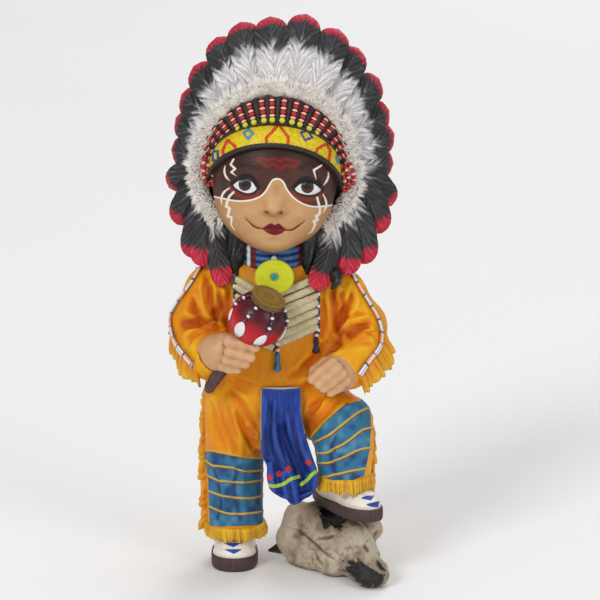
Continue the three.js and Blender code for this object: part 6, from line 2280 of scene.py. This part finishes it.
def skullPlace(distance, side, z):
    way = unit(np.array(skull["nose"]))
    across = np.array([-way[1], way[0]])
    flat = np.array(skull["back"]) + way * distance + across * side
    return np.array([flat[0], flat[1], z])


def makeSkull():
    clay = Clay((-15, -42, -1.5), (38, 21, 26), 0.52)
    way = np.array([*unit(np.array(skull["nose"])), 0.0])
    turnMatrix = np.array([way, [-way[1], way[0], 0.0], [0, 0, 1.0]])
    for distance, side, z, long, wide, high in skull["masses"]:
        clay.add(lump(skullPlace(distance, side, z), (long, wide, high), turnMatrix), 2.2)
    for line, radii in skull["ridges"]:
        clay.add(limb([skullPlace(*place) for place in line], radii), 1.6)
    for distance, side, z, long, wide, high in skull["hollows"]:
        clay.cut(lump(skullPlace(distance, side, z), (long, wide, high), turnMatrix), 1.2)
    clay.trim(2, 0.0)
    form = clay.skin()
    form.points[:, 2] = np.maximum(form.points[:, 2], 0)
    dark = creased(form, [line for line, _ in skull["cracks"][:4]], 0.6, 0.42)
    lumpy = grain(form.points, 6, 31) * 0.35 + grain(form.points * (1, 1, 1.6), 2.4, 32) * 0.2
    above = ease(0.3, 2.5, form.points[:, 2])
    form.points = form.points + form.normals() * (lumpy * above)[:, None]
    form.soften(1, 0.4)
    form.points[:, 2] = np.maximum(form.points[:, 2], 0)
    spots = seen(form.points)
    front = facing(form.normals()) > -0.3
    axes = form.points @ turnMatrix.T
    ragged = 0.85 * grain(axes * (0.5, 2.0, 1.4), 0.9, 33)
    values = form.values
    values["socketGap"] = np.where(front & (form.points[:, 2] > 12),
                                   regionGap(spots, skull["socket"]) + ragged, far)
    nose = np.minimum(regionGap(spots, skull["nostril"]) + ragged,
                      regionGap(spots, skull["hole"]) + 0.4 * ragged)
    values["nostrilGap"] = np.where(front & (form.points[:, 0] > 10), nose, far)
    cracks = np.min([strokeGap(spots, smoothLine(line, 30), [half * 0.4, half, half, half * 0.3])
                     for line, half in skull["cracks"]], axis=0)
    values["crackGap"] = np.where(front, cracks + 0.04 * np.abs(ragged), far)
    holes = np.minimum(values["socketGap"], values["nostrilGap"])
    form.points = form.points - form.normals() * (0.9 * ease(0.4, -1.6, holes))[:, None]
    hollow = form.hollows(12)
    wash = grain(form.points, 8, 34)
    colour = mix(skull["bone"], skull["pale"], 0.7 * ease(-0.2, 0.6, wash))
    colour = mix(colour, skull["brown"], 0.55 * ease(0.2, 0.8, grain(form.points * (1, 1, 0.6), 3.2, 35)))
    scratch = grain(axes * (0.35, 2.6, 2.6), 0.8, 41) * ease(-0.1, 0.5, grain(form.points, 5, 42))
    colour = mix(colour, skull["brown"] * 0.7, 0.7 * ease(0.35, 0.75, scratch))
    # darker brown in the hollows, in the cracks and round the socket and nostril; black in the deepest hollows,
    # a painted shade, and along the ground, a painted shadow
    colour = mix(colour, skull["brown"], 0.8 * ease(0.03, 0.3, hollow))
    colour = mix(colour, skull["brown"], 0.4 * ease(0.3, 1, dark))
    colour = mix(colour, skull["brown"],
                 0.55 * ease(0.2, 0.9, grain(form.points, 1.1, 39))
                 * ease(0.0, 0.5, grain(form.points, 9, 40)))
    colour = mix(colour, skull["brown"], 0.7 * ease(3.2, 0.0, holes + 1.2 * grain(form.points, 1.5, 36)))
    colour = mix(colour, skull["black"],
                 0.6 * ease(2.2, 0.2, form.points[:, 2] + 1.5 * grain(form.points, 3, 37)))
    values["paint"] = mix(colour, skull["black"], 0.9 * ease(0.35, 1.1, hollow))
    layers = (("crackGap", skull["brown"] * 0.45), ("socketGap", skull["black"]),
              ("nostrilGap", skull["black"]))
    makePiece("bullSkull", form,
              resinFinish("bonePaint", {"rough": 0.55, "mottle": 0.2, "grain": 0.3, "edge": 0.4,
                                        "speck": 0.5, "strokes": layers}))
    horns = []
    for stations in ([(3, -11, 6, 3.6), (0.6, -14.6, 4.6, 3.0), (-1.4, -17, 3.6, 1.9),
                      (-3, -19.4, 2.8, 0.35)],
                     [(3, 12, 11, 3.4), (0.5, 17, 10, 2.8), (-2, 20.4, 8.4, 1.7), (-4.4, 22.4, 6.6, 0.4)]):
        line = smoothLine([skullPlace(d, side, z) for d, side, z, _ in stations], 26)
        form = rod(line, [station[3] for station in stations], 18,
                   relief=lambda turn, along: 0.12 * np.sin(70 * along) * (1 - along) + 0.08
                   * np.sin(5 * turn))
        wear = grain(form.points, 1.4, 38)
        form.values["paint"] = mix(skull["horn"], skull["black"], ease(-0.2, 0.7, wear))
        horns.append(form)
    makePiece("horns", join(horns), resinFinish("hornPaint", {"rough": 0.45, "mottle": 0.2, "grain": 0.25}))


def setCamera():
    data = bpy.data.cameras.new("camera")
    data.lens = camera["focal"] / camera["frame"] * camera["sensor"]
    data.sensor_width = camera["sensor"]
    data.clip_start = 0.05
    data.clip_end = 20.0
    eye = bpy.data.objects.new("camera", data)
    bpy.context.scene.collection.objects.link(eye)
    target = (np.array([0, 0, camera["targetHeight"]]) - drawing["middle"]) * drawing["millimetre"]
    away = camera["distance"] * drawing["millimetre"]
    eye.location = (target[0], target[1] - away * tiltCosine, target[2] + away * tiltSine)
    eye.rotation_euler = (math.pi / 2 - tilt, 0, 0)
    bpy.context.scene.camera = eye
    bpy.context.scene.view_settings.view_transform = "Standard"


studio = {
    # each soft panel: name, place in metres, size, and how bright a white card facing it becomes
    "panels": [
        ("keyPanel", (-2.3, -3.3, 2.7), 1.5, 0.40),
        ("fillPanel", (2.9, -2.9, 1.6), 1.8, 0.22),
        ("topPanel", (0.2, 0.6, 4.2), 1.8, 0.20),
        ("backPanel", (1.2, 3.4, 2.2), 1.6, 0.2),
    ],
    "ambient": 0.38, "aim": (0.0, 0.0, 0.1),
}


def setStudio():
    world = bpy.data.worlds.new("studio")
    world.use_nodes = True
    world.node_tree.nodes["Background"].inputs["Color"].default_value = (1, 1, 1, 1)
    world.node_tree.nodes["Background"].inputs["Strength"].default_value = studio["ambient"]
    bpy.context.scene.world = world
    for name, place, size, bright in studio["panels"]:
        data = bpy.data.lights.new(name, "AREA")
        data.shape = "SQUARE"
        data.size = size
        data.energy = bright * math.pi ** 2 * float(np.sum(np.square(place)))
        lamp = bpy.data.objects.new(name, data)
        bpy.context.scene.collection.objects.link(lamp)
        lamp.location = place
        aim = Vector(studio["aim"]) - Vector(place)
        lamp.rotation_euler = aim.to_track_quat("-Z", "Y").to_euler()
    bpy.ops.object.select_all(action="DESELECT")
    bpy.ops.mesh.primitive_plane_add(size=12, location=(0, 0, 0))
    floor = bpy.context.object
    floor.name = "floor"
    f = Finish("floorFinish")
    soft = f.noise(400.0, 2.0, 0.5)
    f.paint("Base Color", f.blend(soft, (0.9, 0.9, 0.9), (0.94, 0.94, 0.94)))
    f.paint("Roughness", 0.9)
    floor.data.materials.append(f.material)


setCamera()
setStudio()
print("camera and studio are set")
makeFace()
makeBand()
makeCrown()
makeDown()
makeFeathers()
makeHair()
print("head is made")
clay = makeSuit()
makeTrims(clay)
makeChest()
makeHands()
makeRattle()
makeCloth()
print("body is made")
makeShoes()
makeSkull()
print("feet and skull are made")
